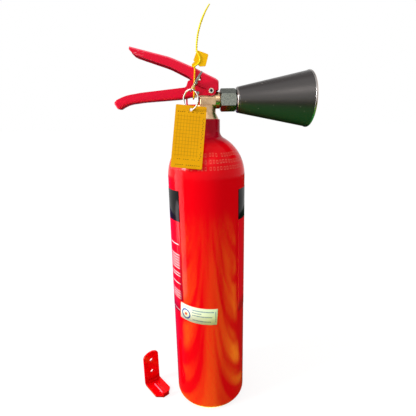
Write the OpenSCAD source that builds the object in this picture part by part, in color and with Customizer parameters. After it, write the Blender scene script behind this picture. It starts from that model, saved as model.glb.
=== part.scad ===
// Portable carbon dioxide fire extinguisher of the two-kilogram size, with a straight discharge horn
// and its loose wall bracket. Millimetres, +Z up. The origin is the centre of the foot, on the floor.
// The horn points along +X and both handles along -X.

/* [Cylinder] */
// Outside diameter of the seamless cylinder
cyl_d = 108; // [102:1:114]
// Height from the floor to the top of the neck
cyl_h = 433; // [400:1:480]
// Wall thickness
cyl_wall = 4; // [3:0.5:6]
// Radius of the shoulder's outer curve
shoulder_r = 58; // [55:1:66]
// Radius of the hollow between shoulder and neck
neck_fillet = 10; // [7:1:13]
// Outside diameter of the neck
neck_d = 40; // [38:1:44]
// Height of the straight neck
neck_h = 16; // [12:1:20]
// Diameter of the neck's threaded hole
neck_bore_d = 26; // [24:1:28]
// Radius of the foot's outer edge
foot_r = 8; // [6:1:10]
// Width of the flat ring that stands on the floor
foot_ring_w = 8; // [5:1:12]
// Depth of the hollow in the base
base_dish = 7; // [4:1:10]

/* [Label and sticker] */
// Height of the lower edge of the wrap-round label
label_z = 158; // [140:1:200]
// Height of the upper edge of the wrap-round label
label_top = 342; // [310:1:345]
// Angle that the label wraps round
label_turn = 265.5; // [240:0.5:290]
// Height up to which the label is cut back, to stop beside the sticker
label_notch_z = 180; // [178:1:240]
// Angle that the cut-back part wraps round
label_low_turn = 257; // [190:1:257]
// Direction of the label's right edge, counted from +X
label_start = -42; // [-60:1:-40]
// Height of the sticker's lower edge
sticker_z = 151; // [100:1:160]
// Height of the sticker
sticker_h = 25; // [18:1:30]
// Angle that the sticker covers
sticker_turn = 62; // [50:1:80]
// Direction of the sticker's left edge, counted from +X
sticker_start = -143; // [-143:1:-130]
// Thickness of the printed films
film_t = 0.2; // [0.1:0.05:0.4]

/* [Valve] */
// Diameter of the valve's round body
valve_d = 29; // [27:1:32]
// Diameter of the flange that sits on the neck
flange_d = 36; // [34:1:38]
// Height of the conical flange
flange_h = 8; // [6:1:10]
// Height of the outlet's axis above the neck
outlet_h = 24.5; // [24:0.5:26]
// Height of the upper block's lower face below the outlet's axis
block_drop = 7.5; // [6:0.5:8]
// Height of the upper block's upper face above the outlet's axis
block_rise = 4.5; // [4:0.5:4.8]
// Width of the upper block
block_w = 22; // [20:1:24]
// Length of the upper block behind the stem
block_back = 7; // [6:0.5:7.5]
// Length of the upper block in front of the stem
block_front = 14.2; // [14.2:0.1:15]
// Height of the slim head above the upper block
head_h = 8.5; // [8:0.5:9.5]
// Length of the slim head behind the stem
head_back = 13.5; // [13:0.5:15]
// Diameter of the outlet boss
boss_d = 22; // [20:1:24]
// Distance from the stem to the outlet boss's face
boss_x = 20; // [19:1:23]
// Diameter of the gas way to the outlet
gas_d = 7; // [5:0.5:8]
// Diameter of the poppet's chamber
chamber_d = 15; // [14:0.5:17]
// Diameter of the gland's bore
gland_d = 8.8; // [8.4:0.2:9.2]
// Depth of the valve's threaded shank in the neck
shank_h = 24; // [18:1:30]

/* [Stem and poppet] */
// Diameter of the stem
stem_d = 6; // [5:0.5:6.5]
// Diameter of the push rod under the stem
push_d = 3.6; // [3:0.2:4.2]
// Height of the stem's rounded tip above the outlet's axis
stem_rise = 30.2; // [29:0.1:31]
// Diameter of the seat's hole
seat_d = 6; // [5:0.5:7]
// Thickness of the seat ring
seat_t = 2; // [1.5:0.5:3]
// Diameter of the poppet
poppet_d = 11.6; // [10:0.2:12.6]
// Height of the poppet's body
poppet_h = 8; // [6:1:9]
// Thickness of the poppet's soft seal
seal_t = 1.8; // [1.2:0.2:2.4]
// Free space between the poppet and the spring's lower end
spring_h = 13; // [12:0.5:14]
// Mean diameter of the spring
spring_d = 9.2; // [8.4:0.2:9.6]
// Diameter of the spring's wire
spring_wire = 1.2; // [0.8:0.1:1.4]
// Number of the spring's turns
spring_turns = 5; // [4:1:7]
// Outside diameter of the dip tube
dip_d = 10; // [8:0.5:11]
// Wall thickness of the dip tube
dip_wall = 1.2; // [0.8:0.1:1.6]
// Gap between the dip tube and the cylinder's floor
dip_gap = 6; // [4:1:12]

/* [Burst disc] */
// Height of the burst disc's axis above the neck
burst_h = 11.5; // [11:0.5:12]
// Diameter of the burst disc's port boss
port_d = 17; // [15:1:18]
// Distance from the valve's axis to the port's face
port_y = 17; // [16:0.5:19]
// Thread diameter of the burst disc plug
plug_d = 10; // [9:0.5:11]
// Width of the plug's hexagon across its flats
plug_af = 14; // [13:0.5:15]
// Height of the plug's hexagon
plug_h = 5; // [4:0.5:7]

/* [Handles] */
// Thickness of the handles' sheet steel
sheet_t = 2; // [1.5:0.1:2.2]
// Inside width of the carrying handle
handle_in = 16; // [15:0.5:17]
// Distance from the pivot to the carrying handle's end
handle_reach = 127; // [115:1:140]
// Depth of the carrying handle's channel at the grip
handle_depth = 11.5; // [9:0.5:14]
// Height of the ears that carry the safety pin, above the pivot
ear_rise = 13.3; // [12.5:0.1:13.6]
// Distance from the pivot to the lever's tip
lever_reach = 101; // [90:1:112]
// Height of the lever's tip above the pivot
lever_lift = 53.5; // [48:0.5:58]
// Length of the lever's nose in front of the pivot
nose = 10; // [9.5:0.5:11]
// Radius of the rounded ends round the pivot
lug_r = 6; // [5.5:0.1:6.4]
// Extra play of the safety pin in the slot in the lever's cheeks
slot_play = 0.5; // [0.5:0.05:0.8]
// Gap between the lever's cheeks and the carrying handle
cheek_gap = 0.4; // [0.3:0.05:0.6]

/* [Pivot and rivets] */
// Distance of the pivot in front of the stem
pivot_x = 8; // [7.8:0.1:8.6]
// Height of the pivot above the neck
pivot_h = 35.5; // [35.2:0.1:36]
// Diameter of the pivot rivet's shank
rivet_d = 5; // [4:0.5:5]
// Diameter of the pivot rivet's heads
rivet_head_d = 6.8; // [6.2:0.2:8]
// Diameter of the hole down the pivot rivet
rivet_hole_d = 3.2; // [2:0.2:3.4]
// Diameter of the handle's fixing rivet
fixing_d = 3.2; // [2.6:0.2:3.6]
// Running gap round the pivot rivet
run_gap = 0.06; // [0.03:0.01:0.1]
// Gap between two pieces that are fixed together
fit_gap = 0.1; // [0.05:0.05:0.2]

/* [Safety pin and rings] */
// Distance of the safety pin behind the pivot
pin_back = 20; // [19:0.5:21]
// Height of the safety pin above the pivot
pin_up = 9; // [8.5:0.25:9.5]
// Diameter of the safety pin
pin_d = 4.4; // [3.6:0.2:4.6]
// Length of the safety pin
pin_l = 36; // [34:1:42]
// Distance from the middle of the handles to the pin's cross hole
pin_eye_y = 17; // [16.5:0.5:20]
// Gap round the safety pin
pin_gap = 0.3; // [0.15:0.05:0.4]
// Mean diameter of the pull ring
pull_d = 26.4; // [24:0.2:30]
// Thickness of the pull ring's wire
pull_wire = 2.2; // [1.8:0.1:2.4]
// Slant of the pull ring from the vertical
pull_slant = 33; // [25:1:45]
// Mean diameter of the key ring
key_d = 24; // [20:0.5:28]
// Thickness of the key ring's wire
key_wire = 2; // [1.6:0.1:2.2]
// Direction that the key ring faces
key_turn = -42; // [-50:1:-35]
// Gap between linked rings
link_gap = 0.2; // [0.1:0.05:0.4]

/* [Inspection tag] */
// Width of the tag
tag_w = 39; // [34:1:42]
// Height of the tag
tag_h = 80; // [70:1:84]
// Thickness of the tag
tag_t = 0.8; // [0.6:0.1:1.2]
// Diameter of the tag's hole
tag_hole_d = 6.4; // [5.6:0.2:7]
// Gap between the key ring and the edge of the tag's hole
tag_slack = 0.9; // [0.4:0.1:1.2]
// Distance from the tag's top edge to its hole's centre
tag_hole_z = 6.5; // [5.5:0.5:9]
// Lean of the tag out to the shoulder
tag_lean = 18.5; // [18.5:0.5:26]
// Tilt of the tag in its own plane
tag_tilt = 6.8; // [2:0.2:10]

/* [Tamper seal] */
// Thickness of the seal's strand
strand_d = 1.6; // [1.2:0.1:1.8]
// Gap between the strand and the handles
strand_gap = 0.4; // [0.3:0.1:1]
// Distance of the strand behind the safety pin
strand_back = 3.6; // [3.4:0.1:4.5]
// Thickness of the seal's flag
flag_t = 1.8; // [1.2:0.2:2.4]
// Width of the seal's tail
tail_w = 3.4; // [2.6:0.2:4.4]
// Radius of the tail's bend
tail_r = 90; // [60:1:110]
// Angle that the tail bends through
tail_turn = 36; // [25:1:45]
// Diameter of the beads on the tail
bead_d = 4.2; // [3.6:0.2:5]

/* [Discharge horn] */
// Width of the coupling nut across its flats
nut_af = 26; // [23:0.5:26]
// Length of the coupling nut
nut_l = 21; // [18:1:23]
// Diameter of the coupling nut's thread
nut_thread_d = 18; // [17:0.5:18.5]
// Outside diameter of the swivel stub
stub_d = 14.2; // [13:0.2:14.8]
// Diameter of the horn's small end
horn_d1 = 34; // [30:1:36]
// Diameter of the horn's mouth
horn_d2 = 73; // [64:1:82]
// Length of the horn's cone
horn_l = 93; // [80:1:110]
// Wall thickness of the horn
horn_wall = 2.5; // [2:0.25:3.5]
// Thickness of the collar at the small end
collar_t = 3; // [2:0.5:4]
// Width of the metal rim at the mouth
rim_w = 3; // [2:0.5:4]
// Height that the rim stands out from the horn
rim_out = 0.8; // [0.4:0.2:1.4]
// Length of the discharge nozzle
nozzle_l = 11; // [9:1:14]

/* [Hanger loop] */
// Width of the hanger loop's window
hanger_w = 13.6; // [12.6:0.2:15]
// Width of the hanger loop's strip
hanger_strip = 9; // [7:0.5:12]
// Thickness of the hanger loop's strip
hanger_t = 2.2; // [1.8:0.1:2.6]

/* [Wall bracket] */
// Width of the bracket
bracket_w = 27.2; // [24:0.2:30]
// Height of the bracket's plate
bracket_h = 59; // [55:1:66]
// Length of the bracket's tongue
bracket_l = 45; // [40:0.5:48]
// Thickness of the bracket's steel
bracket_t = 3; // [2.5:0.1:3.5]
// Outer radius of the bracket's bend
bracket_bend = 5; // [4.5:0.5:7]
// Width of the lip at the tongue's end
lip_w = 10.5; // [9:0.5:12]
// Height of the lip above the floor
lip_h = 9; // [7:0.5:11]
// Diameter of the two screw holes
screw_d = 6; // [5:0.5:7]
// Height of the lower screw hole
screw_z = 22; // [18:1:24]
// Distance between the two screw holes
screw_pitch = 22; // [20:1:24]
// Place of the bracket's bend, along X
bracket_x = -100.4; // [-110:0.1:-95]
// Place of the bracket's bend, along Y
bracket_y = 13.4; // [10:0.1:30]
// Direction that the bracket is turned to
bracket_turn = 37; // [30:1:45]

/* [Hidden] */
$fn = 96;
cut = 0.01;
big = 400;
cyl_r = cyl_d / 2;
neck_r = neck_d / 2;
shoulder_in = cyl_r - shoulder_r;
shoulder_rise = sqrt(pow(shoulder_r + neck_fillet, 2) - pow(neck_r + neck_fillet - shoulder_in, 2));
fillet_z = cyl_h - neck_h;
shoulder_z = fillet_z - shoulder_rise;
shoulder_end = atan2(shoulder_rise, neck_r + neck_fillet - shoulder_in);

outlet_z = cyl_h + outlet_h;
block_z = outlet_z - block_drop;
block_top = outlet_z + block_rise;
head_top = block_top + head_h;
head_w = handle_in - 2 * fit_gap;
burst_z = cyl_h + burst_h;
pivot_z = cyl_h + pivot_h;
pin_x = pivot_x - pin_back;
pin_z = pivot_z + pin_up;
handle_out = handle_in + 2 * sheet_t;
lever_in = handle_out + 2 * cheek_gap;
lever_out = lever_in + 2 * sheet_t;

seat_top = block_z;
seat_z = seat_top - seat_t;
poppet_top = seat_z - fit_gap;
poppet_z = poppet_top - seal_t - poppet_h;
spring_z = poppet_z - spring_h;
retainer_h = 10;
shank_z = cyl_h - shank_h;
stem_z = outlet_z - 2;
stem_tip_z = outlet_z + stem_rise;
gland_hex_h = 4.5;
gland_seal_h = 3;

nut_x = boss_x + 0.4;
nut_end = nut_x + nut_l;
lip_ring_w = 8;
stub_flange_x = nut_end - lip_ring_w - fit_gap;
stub_flange_w = 1.6;
washer_w = 0.8;
collar_x = nut_end + 0.6;
horn_x = collar_x + collar_t;
rim_x = horn_x + horn_l;
boss_socket_x = boss_x - 5;
boss_socket_d = 15;

pull_axis = [-sin(pull_slant), 0, -cos(pull_slant)];
pull_c = [pin_x, -pin_eye_y - pull_d / 2, pin_z];
pull_low = pull_c + pull_axis * pull_d / 2;
link = pull_wire / 2 + key_wire / 2 + link_gap;
key_c = pull_low + [0, 0, link - key_d / 2];
key_low = key_c - [0, 0, key_d / 2];
tag_drop = tag_hole_d / 2 - key_wire / 2 - tag_slack;

spigot_h = 4;
dip_socket = 6;
gland_z = head_top - 5;
gland_af = 9.4;
disc_t = 0.3;
disc_washer_t = 0.8;
fixing_x = -9.5;
fixing_z = block_top + 4;
fixing_head_h = 1;
squeeze = 20;
rivet_play = 0.2;
rivet_head_h = 0.9;
adapter_end = stub_flange_x - stub_flange_w - washer_w - fit_gap;
stub_end = horn_x + 2;
bracket_crown = 6;
rib_r = 5;
rib_h = 1.2;

// Side views of the two handles, seen from -Y and counted from the pivot: x along +X, y along +Z.
// The carrying handle's underside runs from its end to the valve, its upper edge runs back again.
handle_neck_z = 4.9;
handle_grip_z = -1.1;
handle_base = [
    [5.6 - handle_reach, handle_grip_z - handle_depth - 10.1],
    [17.6 - handle_reach, handle_grip_z - handle_depth - 2.7],
    [39.9 - handle_reach, handle_grip_z - handle_depth],
    [-38, handle_grip_z - handle_depth + 3],
    [-16, 0.7 - lug_r],
];
hanger_seat = 3;
handle_top = [
    [35.9 - handle_reach, handle_grip_z],
    [16.1 - handle_reach, handle_grip_z - 3.2],
    [3.4 - handle_reach, handle_grip_z - 8.8],
    [-handle_reach, handle_grip_z - 11.8]
];
ear_front = 8;
ear_back = 29.7;
web_end = -head_back - 0.5 - pivot_x;
// The lever's upper face, from the foot of its nose back to its tip
lever_top = [
    [nose, 1], [nose, 12.5], [nose - 3.8, 15.3], [-11.3, 23.4], [-18.3, 27.2], [-51.2, 41],
    [-lever_reach, lever_lift]
];

strand_x = pin_x - strand_back;
strand_y = lever_out / 2 + strand_gap + strand_d / 2;
strand_out = strand_gap + strand_d / 2;
strand_back_x = strand_x - strand_d / 2 - pivot_x;
strand_top = pivot_z + line_y(lever_top[4], lever_top[5], strand_back_x) + strand_out;
strand_low = pivot_z + line_y(handle_base[3], handle_base[4], strand_back_x) - strand_out;
// The flag's corners and the tail's foot, counted from the strand's top
flag = [[9.5, -2], [16.8, -1.6], [20.8, 12], [6.4, 17], [1.4, 5.2]];
flag_neck = [[-strand_d / 2, -2.4], [2, -2.4], [8, 1], [4, 5], [-strand_d / 2, 0.6]];
tail_foot = [5.7, 15.4];
function line_y(a, b, x) = a[1] + (b[1] - a[1]) * (x - a[0]) / (b[0] - a[0]);
function bead_at(i) =
    let (a = 180 - 3 * i - 1)
    [tail_foot[0] + tail_r + tail_r * cos(a), 0, tail_foot[1] + tail_r * sin(a)];

function unit(v) = v / norm(v);
function left(v) = [-v[1], v[0]];
function mitre(a, b, c, d) =
    let (u = left(unit(b - a)), v = left(unit(c - b)), n = unit(u + v)) b + n * d / (n * u);
// A line shifted sideways to its left by d, with mitred corners
function shifted(p, d) =
    let (n = len(p) - 1)
    [
        p[0] + left(unit(p[1] - p[0])) * d,
        for (i = [1 : n - 1]) mitre(p[i - 1], p[i], p[i + 1], d),
        p[n] + left(unit(p[n] - p[n - 1])) * d
    ];
function arc(c, r, a0, a1, n = 24) =
    [for (i = [0 : n]) c + r * [cos(a0 + (a1 - a0) * i / n), sin(a0 + (a1 - a0) * i / n)]];
function hex_r(af) = af / 2 / cos(30);

// Draws a side view, x along +X and y along +Z, as a plate of width w centred on the handles
module side(w) {
    rotate([90, 0, 0]) translate([0, 0, -w / 2]) linear_extrude(w) children();
}
// Stands its children on the Y axis, pointing along +Y
module along_y(p) {
    translate(p) rotate([-90, 0, 0]) children();
}
// Lays its children along the X axis, pointing along +X
module along_x(p) {
    translate(p) rotate([0, 90, 0]) children();
}
module tube(d, hole_d, h) {
    difference() {
        cylinder(d = d, h = h);
        translate([0, 0, -cut]) cylinder(d = hole_d, h = h + 2 * cut);
    }
}
module hexagon(af, h) {
    cylinder(r = hex_r(af), h = h, $fn = 6);
}
// A hexagon with its corners turned off at both ends
module nut_blank(af, h, bevel) {
    intersection() {
        hexagon(af, h);
        rotate_extrude() polygon([
            [0, 0], [af / 2, 0], [hex_r(af), bevel], [hex_r(af), h - bevel], [af / 2, h], [0, h]
        ]);
    }
}
module ring(d, wire) {
    rotate_extrude() translate([d / 2, 0]) circle(d = wire, $fn = 32);
}

// Seamless steel cylinder with a dished base and a spun shoulder, open only at its neck
module cylinder_shell() {
    base_r = cyl_r - foot_r - foot_ring_w;
    dish_r = (base_r * base_r + base_dish * base_dish) / (2 * base_dish);
    dish_a = asin(base_r / dish_r);
    floor_r = dish_r + cyl_wall;
    inner_r = cyl_r - cyl_wall;
    fillet_in = foot_r;
    fillet_x = inner_r - fillet_in;
    dish_z = base_dish - dish_r;
    fillet_y = dish_z + sqrt(pow(floor_r + fillet_in, 2) - pow(fillet_x, 2));
    touch_a = atan2(fillet_x, fillet_y - dish_z);
    outside = concat(
        arc([0, dish_z], dish_r, 90, 90 - dish_a),
        arc([cyl_r - foot_r, foot_r], foot_r, -90, 0),
        arc([shoulder_in, shoulder_z], shoulder_r, 0, shoulder_end, 40),
        arc([neck_r + neck_fillet, fillet_z], neck_fillet, 180 + shoulder_end, 180),
        [[neck_r, cyl_h], [0, cyl_h]]
    );
    inside = concat(
        arc([0, dish_z], floor_r, 90, 90 - touch_a),
        arc([fillet_x, fillet_y], fillet_in, -90 - touch_a, 0),
        arc([shoulder_in, shoulder_z], shoulder_r - cyl_wall, 0, shoulder_end, 40),
        [[0, shoulder_z + (shoulder_r - cyl_wall) * sin(shoulder_end)]]
    );
    color("red") difference() {
        rotate_extrude($fn = 120) polygon(outside);
        rotate_extrude($fn = 120) polygon(inside);
        translate([0, 0, shoulder_z]) cylinder(d = neck_bore_d, h = cyl_h);
    }
}

// A strip of film on the cylinder, from direction start over an angle turn
module film(z, h, start, turn) {
    translate([0, 0, z]) rotate([0, 0, start]) rotate_extrude(angle = turn, $fn = 120)
        translate([cyl_r + film_t / 4, 0]) square([film_t, h]);
}

// Printed film round the back of the cylinder, cut back low down beside the sticker
module wraparound_label() {
    color("black") {
        film(label_notch_z, label_top - label_notch_z, label_start, label_turn);
        film(label_z, label_notch_z - label_z + cut, label_start, label_low_turn);
    }
}

// Pale film sticker on the front
module inspection_sticker() {
    color("honeydew") film(sticker_z, sticker_h, sticker_start, sticker_turn);
}

// Forged brass body: threaded shank, flange, round body, block with the outlet boss, and slim head
module valve_body() {
    color("tan") difference() {
        union() {
            translate([0, 0, shank_z]) cylinder(d = neck_bore_d - 2 * fit_gap, h = shank_h + flange_h);
            translate([0, 0, cyl_h]) cylinder(d1 = flange_d, d2 = valve_d - 2 * cut, h = flange_h);
            translate([0, 0, cyl_h + cut]) cylinder(d = valve_d, h = block_z - cyl_h - cut);
            translate([-block_back, -block_w / 2, block_z - cut])
                cube([block_back + block_front, block_w, block_top - block_z + cut]);
            along_x([block_front - 1, 0, outlet_z]) cylinder(d = boss_d, h = boss_x - block_front + 1);
            translate([-head_back, -head_w / 2, block_top - cut])
                cube([head_back + pivot_x, head_w, head_h + cut]);
            along_y([pivot_x, -head_w / 2, pivot_z]) cylinder(r = lug_r, h = head_w);
            along_y([0, 0, burst_z]) cylinder(d = port_d, h = port_y);
        }
        translate([0, 0, shank_z - cut]) cylinder(d = chamber_d, h = seat_top - shank_z + cut);
        translate([0, 0, seat_top - cut]) cylinder(d = seat_d + 2 * fit_gap, h = block_top - seat_top);
        translate([0, 0, stem_z]) cylinder(d = gland_d, h = head_h + outlet_z);
        translate([0, 0, head_top]) cylinder(r = hex_r(gland_af) + fit_gap, h = big);
        along_x([0, 0, outlet_z]) cylinder(d = gas_d, h = boss_x + 1);
        along_x([boss_socket_x, 0, outlet_z]) cylinder(d = boss_socket_d, h = boss_x);
        along_y([0, 0, burst_z]) cylinder(d = plug_d / 2, h = port_y + 1);
        along_y([0, port_y - 5, burst_z]) cylinder(d = plug_d, h = port_y);
        along_y([pivot_x, -big / 2, pivot_z]) cylinder(d = rivet_d + 2 * run_gap, h = big);
        along_y([fixing_x, -big / 2, fixing_z]) cylinder(d = fixing_d + 2 * run_gap, h = big);
    }
}

// Hard ring that the poppet closes against
module valve_seat() {
    color("gold") translate([0, 0, seat_z]) tube(chamber_d - 2 * fit_gap, seat_d, seat_t);
}

// Brass poppet with a spigot that centres its spring
module poppet() {
    color("goldenrod") {
        translate([0, 0, poppet_z]) cylinder(d = poppet_d, h = poppet_h);
        translate([0, 0, poppet_z - spigot_h]) cylinder(d = spring_d - 2 * spring_wire, h = spigot_h + cut);
    }
}

// Soft disc on top of the poppet
module poppet_seal() {
    color("ivory") translate([0, 0, poppet_top - seal_t]) cylinder(d = poppet_d - 1, h = seal_t);
}

// Coil spring under the poppet
module poppet_spring() {
    sides = 6;
    rings = spring_turns * 14;
    r = spring_d / 2;
    w = spring_wire / 2;
    rise = spring_h - spring_wire - 2 * cut;
    points = [
        for (i = [0 : rings], s = [0 : sides - 1])
        let (a = 360 * spring_turns * i / rings, b = 360 * s / sides)
        [
            (r + w * cos(b)) * cos(a),
            (r + w * cos(b)) * sin(a),
            spring_z + w + cut + rise * i / rings + w * sin(b)
        ]
    ];
    walls = [
        for (i = [0 : rings - 1], s = [0 : sides - 1])
        let (t = (s + 1) % sides)
        [i * sides + s, i * sides + t, (i + 1) * sides + t, (i + 1) * sides + s]
    ];
    first = [for (s = [sides - 1 : -1 : 0]) s];
    last = [for (s = [0 : sides - 1]) rings * sides + s];
    color("silver") polyhedron(points, concat(walls, [first, last]), convexity = 10);
}

// Screwed ring that carries the spring and the dip tube
module spring_retainer() {
    color("goldenrod") translate([0, 0, spring_z - retainer_h]) difference() {
        cylinder(d = chamber_d - 2 * fit_gap, h = retainer_h);
        translate([0, 0, -cut]) cylinder(d = dip_d + 2 * fit_gap, h = dip_socket + cut);
        cylinder(d = dip_d - 2 * dip_wall, h = retainer_h + cut);
    }
}

// Tube that takes liquid from the bottom of the cylinder, cut slantwise at its foot
module dip_tube() {
    foot_z = base_dish + cyl_wall + dip_gap;
    color("lightgray") difference() {
        translate([0, 0, foot_z])
            tube(dip_d, dip_d - 2 * dip_wall, spring_z - retainer_h + dip_socket - fit_gap - foot_z);
        translate([0, 0, foot_z]) rotate([0, 45, 0]) translate([0, -dip_d, -3 * dip_d])
            cube([3 * dip_d, 2 * dip_d, 3 * dip_d]);
    }
}

// Steel stem that the lever presses, with the thin rod that pushes the poppet
module valve_stem() {
    color("silver") {
        translate([0, 0, poppet_top + cut]) cylinder(d = push_d, h = stem_z + fit_gap - poppet_top);
        translate([0, 0, stem_z + fit_gap])
            cylinder(d = stem_d, h = stem_tip_z - stem_d / 2 - stem_z - fit_gap);
        translate([0, 0, stem_tip_z - stem_d / 2]) sphere(d = stem_d);
    }
}

// Rubber ring round the stem under the gland
module stem_o_ring() {
    color("black") translate([0, 0, gland_z - gland_d / 8])
        ring((gland_d + stem_d) / 2, (gland_d - stem_d) / 2 - 2 * run_gap);
}

// Hexagon gland nut that holds the stem's seal in
module stem_gland() {
    color("goldenrod") difference() {
        union() {
            translate([0, 0, gland_z]) cylinder(d = gland_d - 2 * run_gap, h = head_top - gland_z);
            translate([0, 0, head_top]) nut_blank(gland_af, gland_hex_h, 0.6);
        }
        translate([0, 0, gland_z - cut]) cylinder(d = stem_d + 2 * run_gap, h = big);
    }
}

// Thin metal disc that bursts when the pressure is too high
module burst_disc() {
    color("silver") along_y([0, port_y - 5, burst_z]) cylinder(d = plug_d - 2 * fit_gap, h = disc_t);
}

// Washer between the burst disc and its plug
module burst_washer() {
    color("peru") along_y([0, port_y - 5 + disc_t, burst_z])
        tube(plug_d - 2 * fit_gap, plug_d / 2, disc_washer_t);
}

// Hexagon plug that clamps the burst disc and vents through its middle
module burst_plug() {
    shank_y = port_y - 5 + disc_t + disc_washer_t;
    color("silver") difference() {
        union() {
            along_y([0, shank_y, burst_z]) cylinder(d = plug_d - 2 * fit_gap, h = port_y - shank_y + 1);
            along_y([0, port_y + fit_gap, burst_z]) nut_blank(plug_af, plug_h, 0.8);
        }
        along_y([0, 0, burst_z]) cylinder(d = plug_d / 2 - 1, h = big);
    }
}

// Moves a side view from the pivot to its place on the valve
module at_pivot() {
    translate([pivot_x, 0, pivot_z]) children();
}

// Red steel channel, open upwards, riveted to the valve's head by its two cheeks
module carrying_handle() {
    outline = concat(
        handle_base,
        [[-lug_r / 2, -lug_r], [0, 0], [-ear_front, ear_rise], [-ear_back, ear_rise]],
        [[-ear_back - 2.8, handle_neck_z]],
        handle_top
    );
    web = shifted(handle_base, sheet_t);
    hollow = [
        web[0] + 20 * unit(web[0] - web[1]), web[0], web[1], web[2], web[3],
        [web_end, line_y(web[3], web[4], web_end)],
        [web_end, -big], [big, -big], [big, big], [-big, big]
    ];
    color("crimson") at_pivot() difference() {
        union() {
            side(handle_out) polygon(outline);
            along_y([0, -handle_out / 2, 0]) cylinder(r = lug_r, h = handle_out);
        }
        side(handle_in) polygon(hollow);
        along_y([0, -big / 2, 0]) cylinder(d = rivet_d + 2 * run_gap, h = big);
        along_y([-pin_back, -big / 2, pin_up]) cylinder(d = pin_d + 2 * pin_gap, h = big);
        along_y([fixing_x - pivot_x, -big / 2, fixing_z - pivot_z])
            cylinder(d = fixing_d + 2 * run_gap, h = big);
    }
}

// Solid rivet that holds the carrying handle's cheeks to the valve's head
module fixing_rivet() {
    half = handle_out / 2;
    color("silver") translate([fixing_x, 0, fixing_z]) {
        along_y([0, -half, 0]) cylinder(d = fixing_d, h = 2 * half);
        along_y([0, half, 0]) cylinder(d1 = 1.5 * fixing_d, d2 = fixing_d, h = fixing_head_h);
        along_y([0, -half - fixing_head_h, 0])
            cylinder(d1 = fixing_d, d2 = 1.5 * fixing_d, h = fixing_head_h);
    }
}

// Red steel channel, open downwards, that is squeezed towards the carrying handle
module squeeze_lever() {
    outline = concat(
        lever_top,
        [
            [-lever_reach - 0.8, lever_lift - 3.7],
            [-lever_reach + 3.4, lever_lift - 8.1],
            [-lever_reach + 7.4, lever_lift - 10.3],
            [-lever_reach + 18, lever_lift - 14],
            [-51.8, 29.2],
            [-28, 17.3],
            [-17.7, 6.7],
            [-lug_r, 2.6],
            [0, 0]
        ]
    );
    web = shifted(lever_top, sheet_t);
    last = len(web) - 1;
    hollow = concat(
        web,
        [web[last] + 30 * unit(web[last] - web[last - 1]), [-big, -big], [web[0][0], -big]]
    );
    color("crimson") at_pivot() difference() {
        union() {
            side(lever_out) polygon(outline);
            along_y([0, -lever_out / 2, 0]) cylinder(r = lug_r, h = lever_out);
        }
        side(lever_in) polygon(hollow);
        along_y([0, -big / 2, 0]) cylinder(d = rivet_d + 2 * run_gap, h = big);
        pin_slot();
    }
}

// Slot in the lever's cheeks, along the way that the safety pin takes in them
module pin_slot() {
    r = norm([pin_back, pin_up]);
    a0 = 180 - atan2(pin_up, pin_back);
    a1 = a0 - squeeze;
    bow = r * (1 - cos(squeeze / 2));
    side(big) hull() for (a = [a0, a1])
        translate(r * [cos(a), sin(a)]) circle(d = pin_d + 2 * (pin_gap + slot_play + bow), $fn = 32);
}

// Tubular rivet that the lever turns on
module pivot_rivet() {
    half = lever_out / 2 + rivet_play;
    color("silver") difference() {
        union() {
            along_y([pivot_x, -half, pivot_z]) cylinder(d = rivet_d, h = 2 * half);
            for (y = [-half - rivet_head_h, half])
                along_y([pivot_x, y, pivot_z]) cylinder(d = rivet_head_d, h = rivet_head_h);
        }
        along_y([pivot_x, -big / 2, pivot_z]) cylinder(d = rivet_hole_d, h = big);
    }
}

// Steel stirrup under the carrying handle that drops over a wall bracket's lip
module hanger_loop() {
    leg_front = -block_back - fit_gap;
    leg_back = leg_front - 2 * hanger_t - hanger_w;
    low = block_z + fit_gap;
    a = handle_base[hanger_seat];
    b = handle_base[hanger_seat + 1];
    slope = (b[1] - a[1]) / (b[0] - a[0]);
    web_z = pivot_z + a[1] + slope * (leg_back - pivot_x - a[0]) - fit_gap;
    color("crimson") side(hanger_strip) polygon([
        [leg_back, low],
        [leg_front, low],
        [leg_front, block_top - fit_gap],
        [leg_front - hanger_t, block_top - fit_gap],
        [leg_front - hanger_t, low + hanger_t],
        [leg_back + hanger_t, low + hanger_t],
        [leg_back + hanger_t, web_z + slope * hanger_t],
        [leg_back, web_z]
    ]);
}

// Steel pin through the carrying handle's ears, with a cross hole for the pull ring
module safety_pin() {
    front = pin_eye_y + pin_d / 2 + 1.2;
    color("silver") difference() {
        union() {
            along_y([pin_x, -front, pin_z]) cylinder(d = pin_d, h = pin_l - pin_d);
            along_y([pin_x, pin_l - pin_d - front - cut, pin_z])
                cylinder(d1 = pin_d, d2 = pin_d / 2, h = pin_d);
        }
        translate([pin_x, -pin_eye_y, pin_z]) rotate([0, pull_slant, 0])
            cylinder(d = pull_wire + 2 * pin_gap, h = 3 * pin_d, center = true);
    }
}

// Wire ring through the safety pin
module pull_ring() {
    color("silver") translate(pull_c) rotate([0, pull_slant - 90, 0]) ring(pull_d, pull_wire);
}

// Wire ring that hangs on the pull ring and carries the tag
module key_ring() {
    color("silver") translate(key_c) rotate([0, 0, key_turn]) rotate([90, 0, 0]) ring(key_d, key_wire);
}

// Plastic tag that hangs on the key ring and rests against the shoulder
module inspection_tag() {
    color("orange") translate(key_low) rotate([-tag_lean, 0, 0]) rotate([0, tag_tilt, 0])
        rotate([90, 0, 0]) translate([0, -tag_drop, -tag_t / 2]) linear_extrude(tag_t) difference() {
            translate([0, tag_hole_z - tag_h / 2]) square([tag_w, tag_h], center = true);
            circle(d = tag_hole_d, $fn = 48);
        }
}

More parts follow.
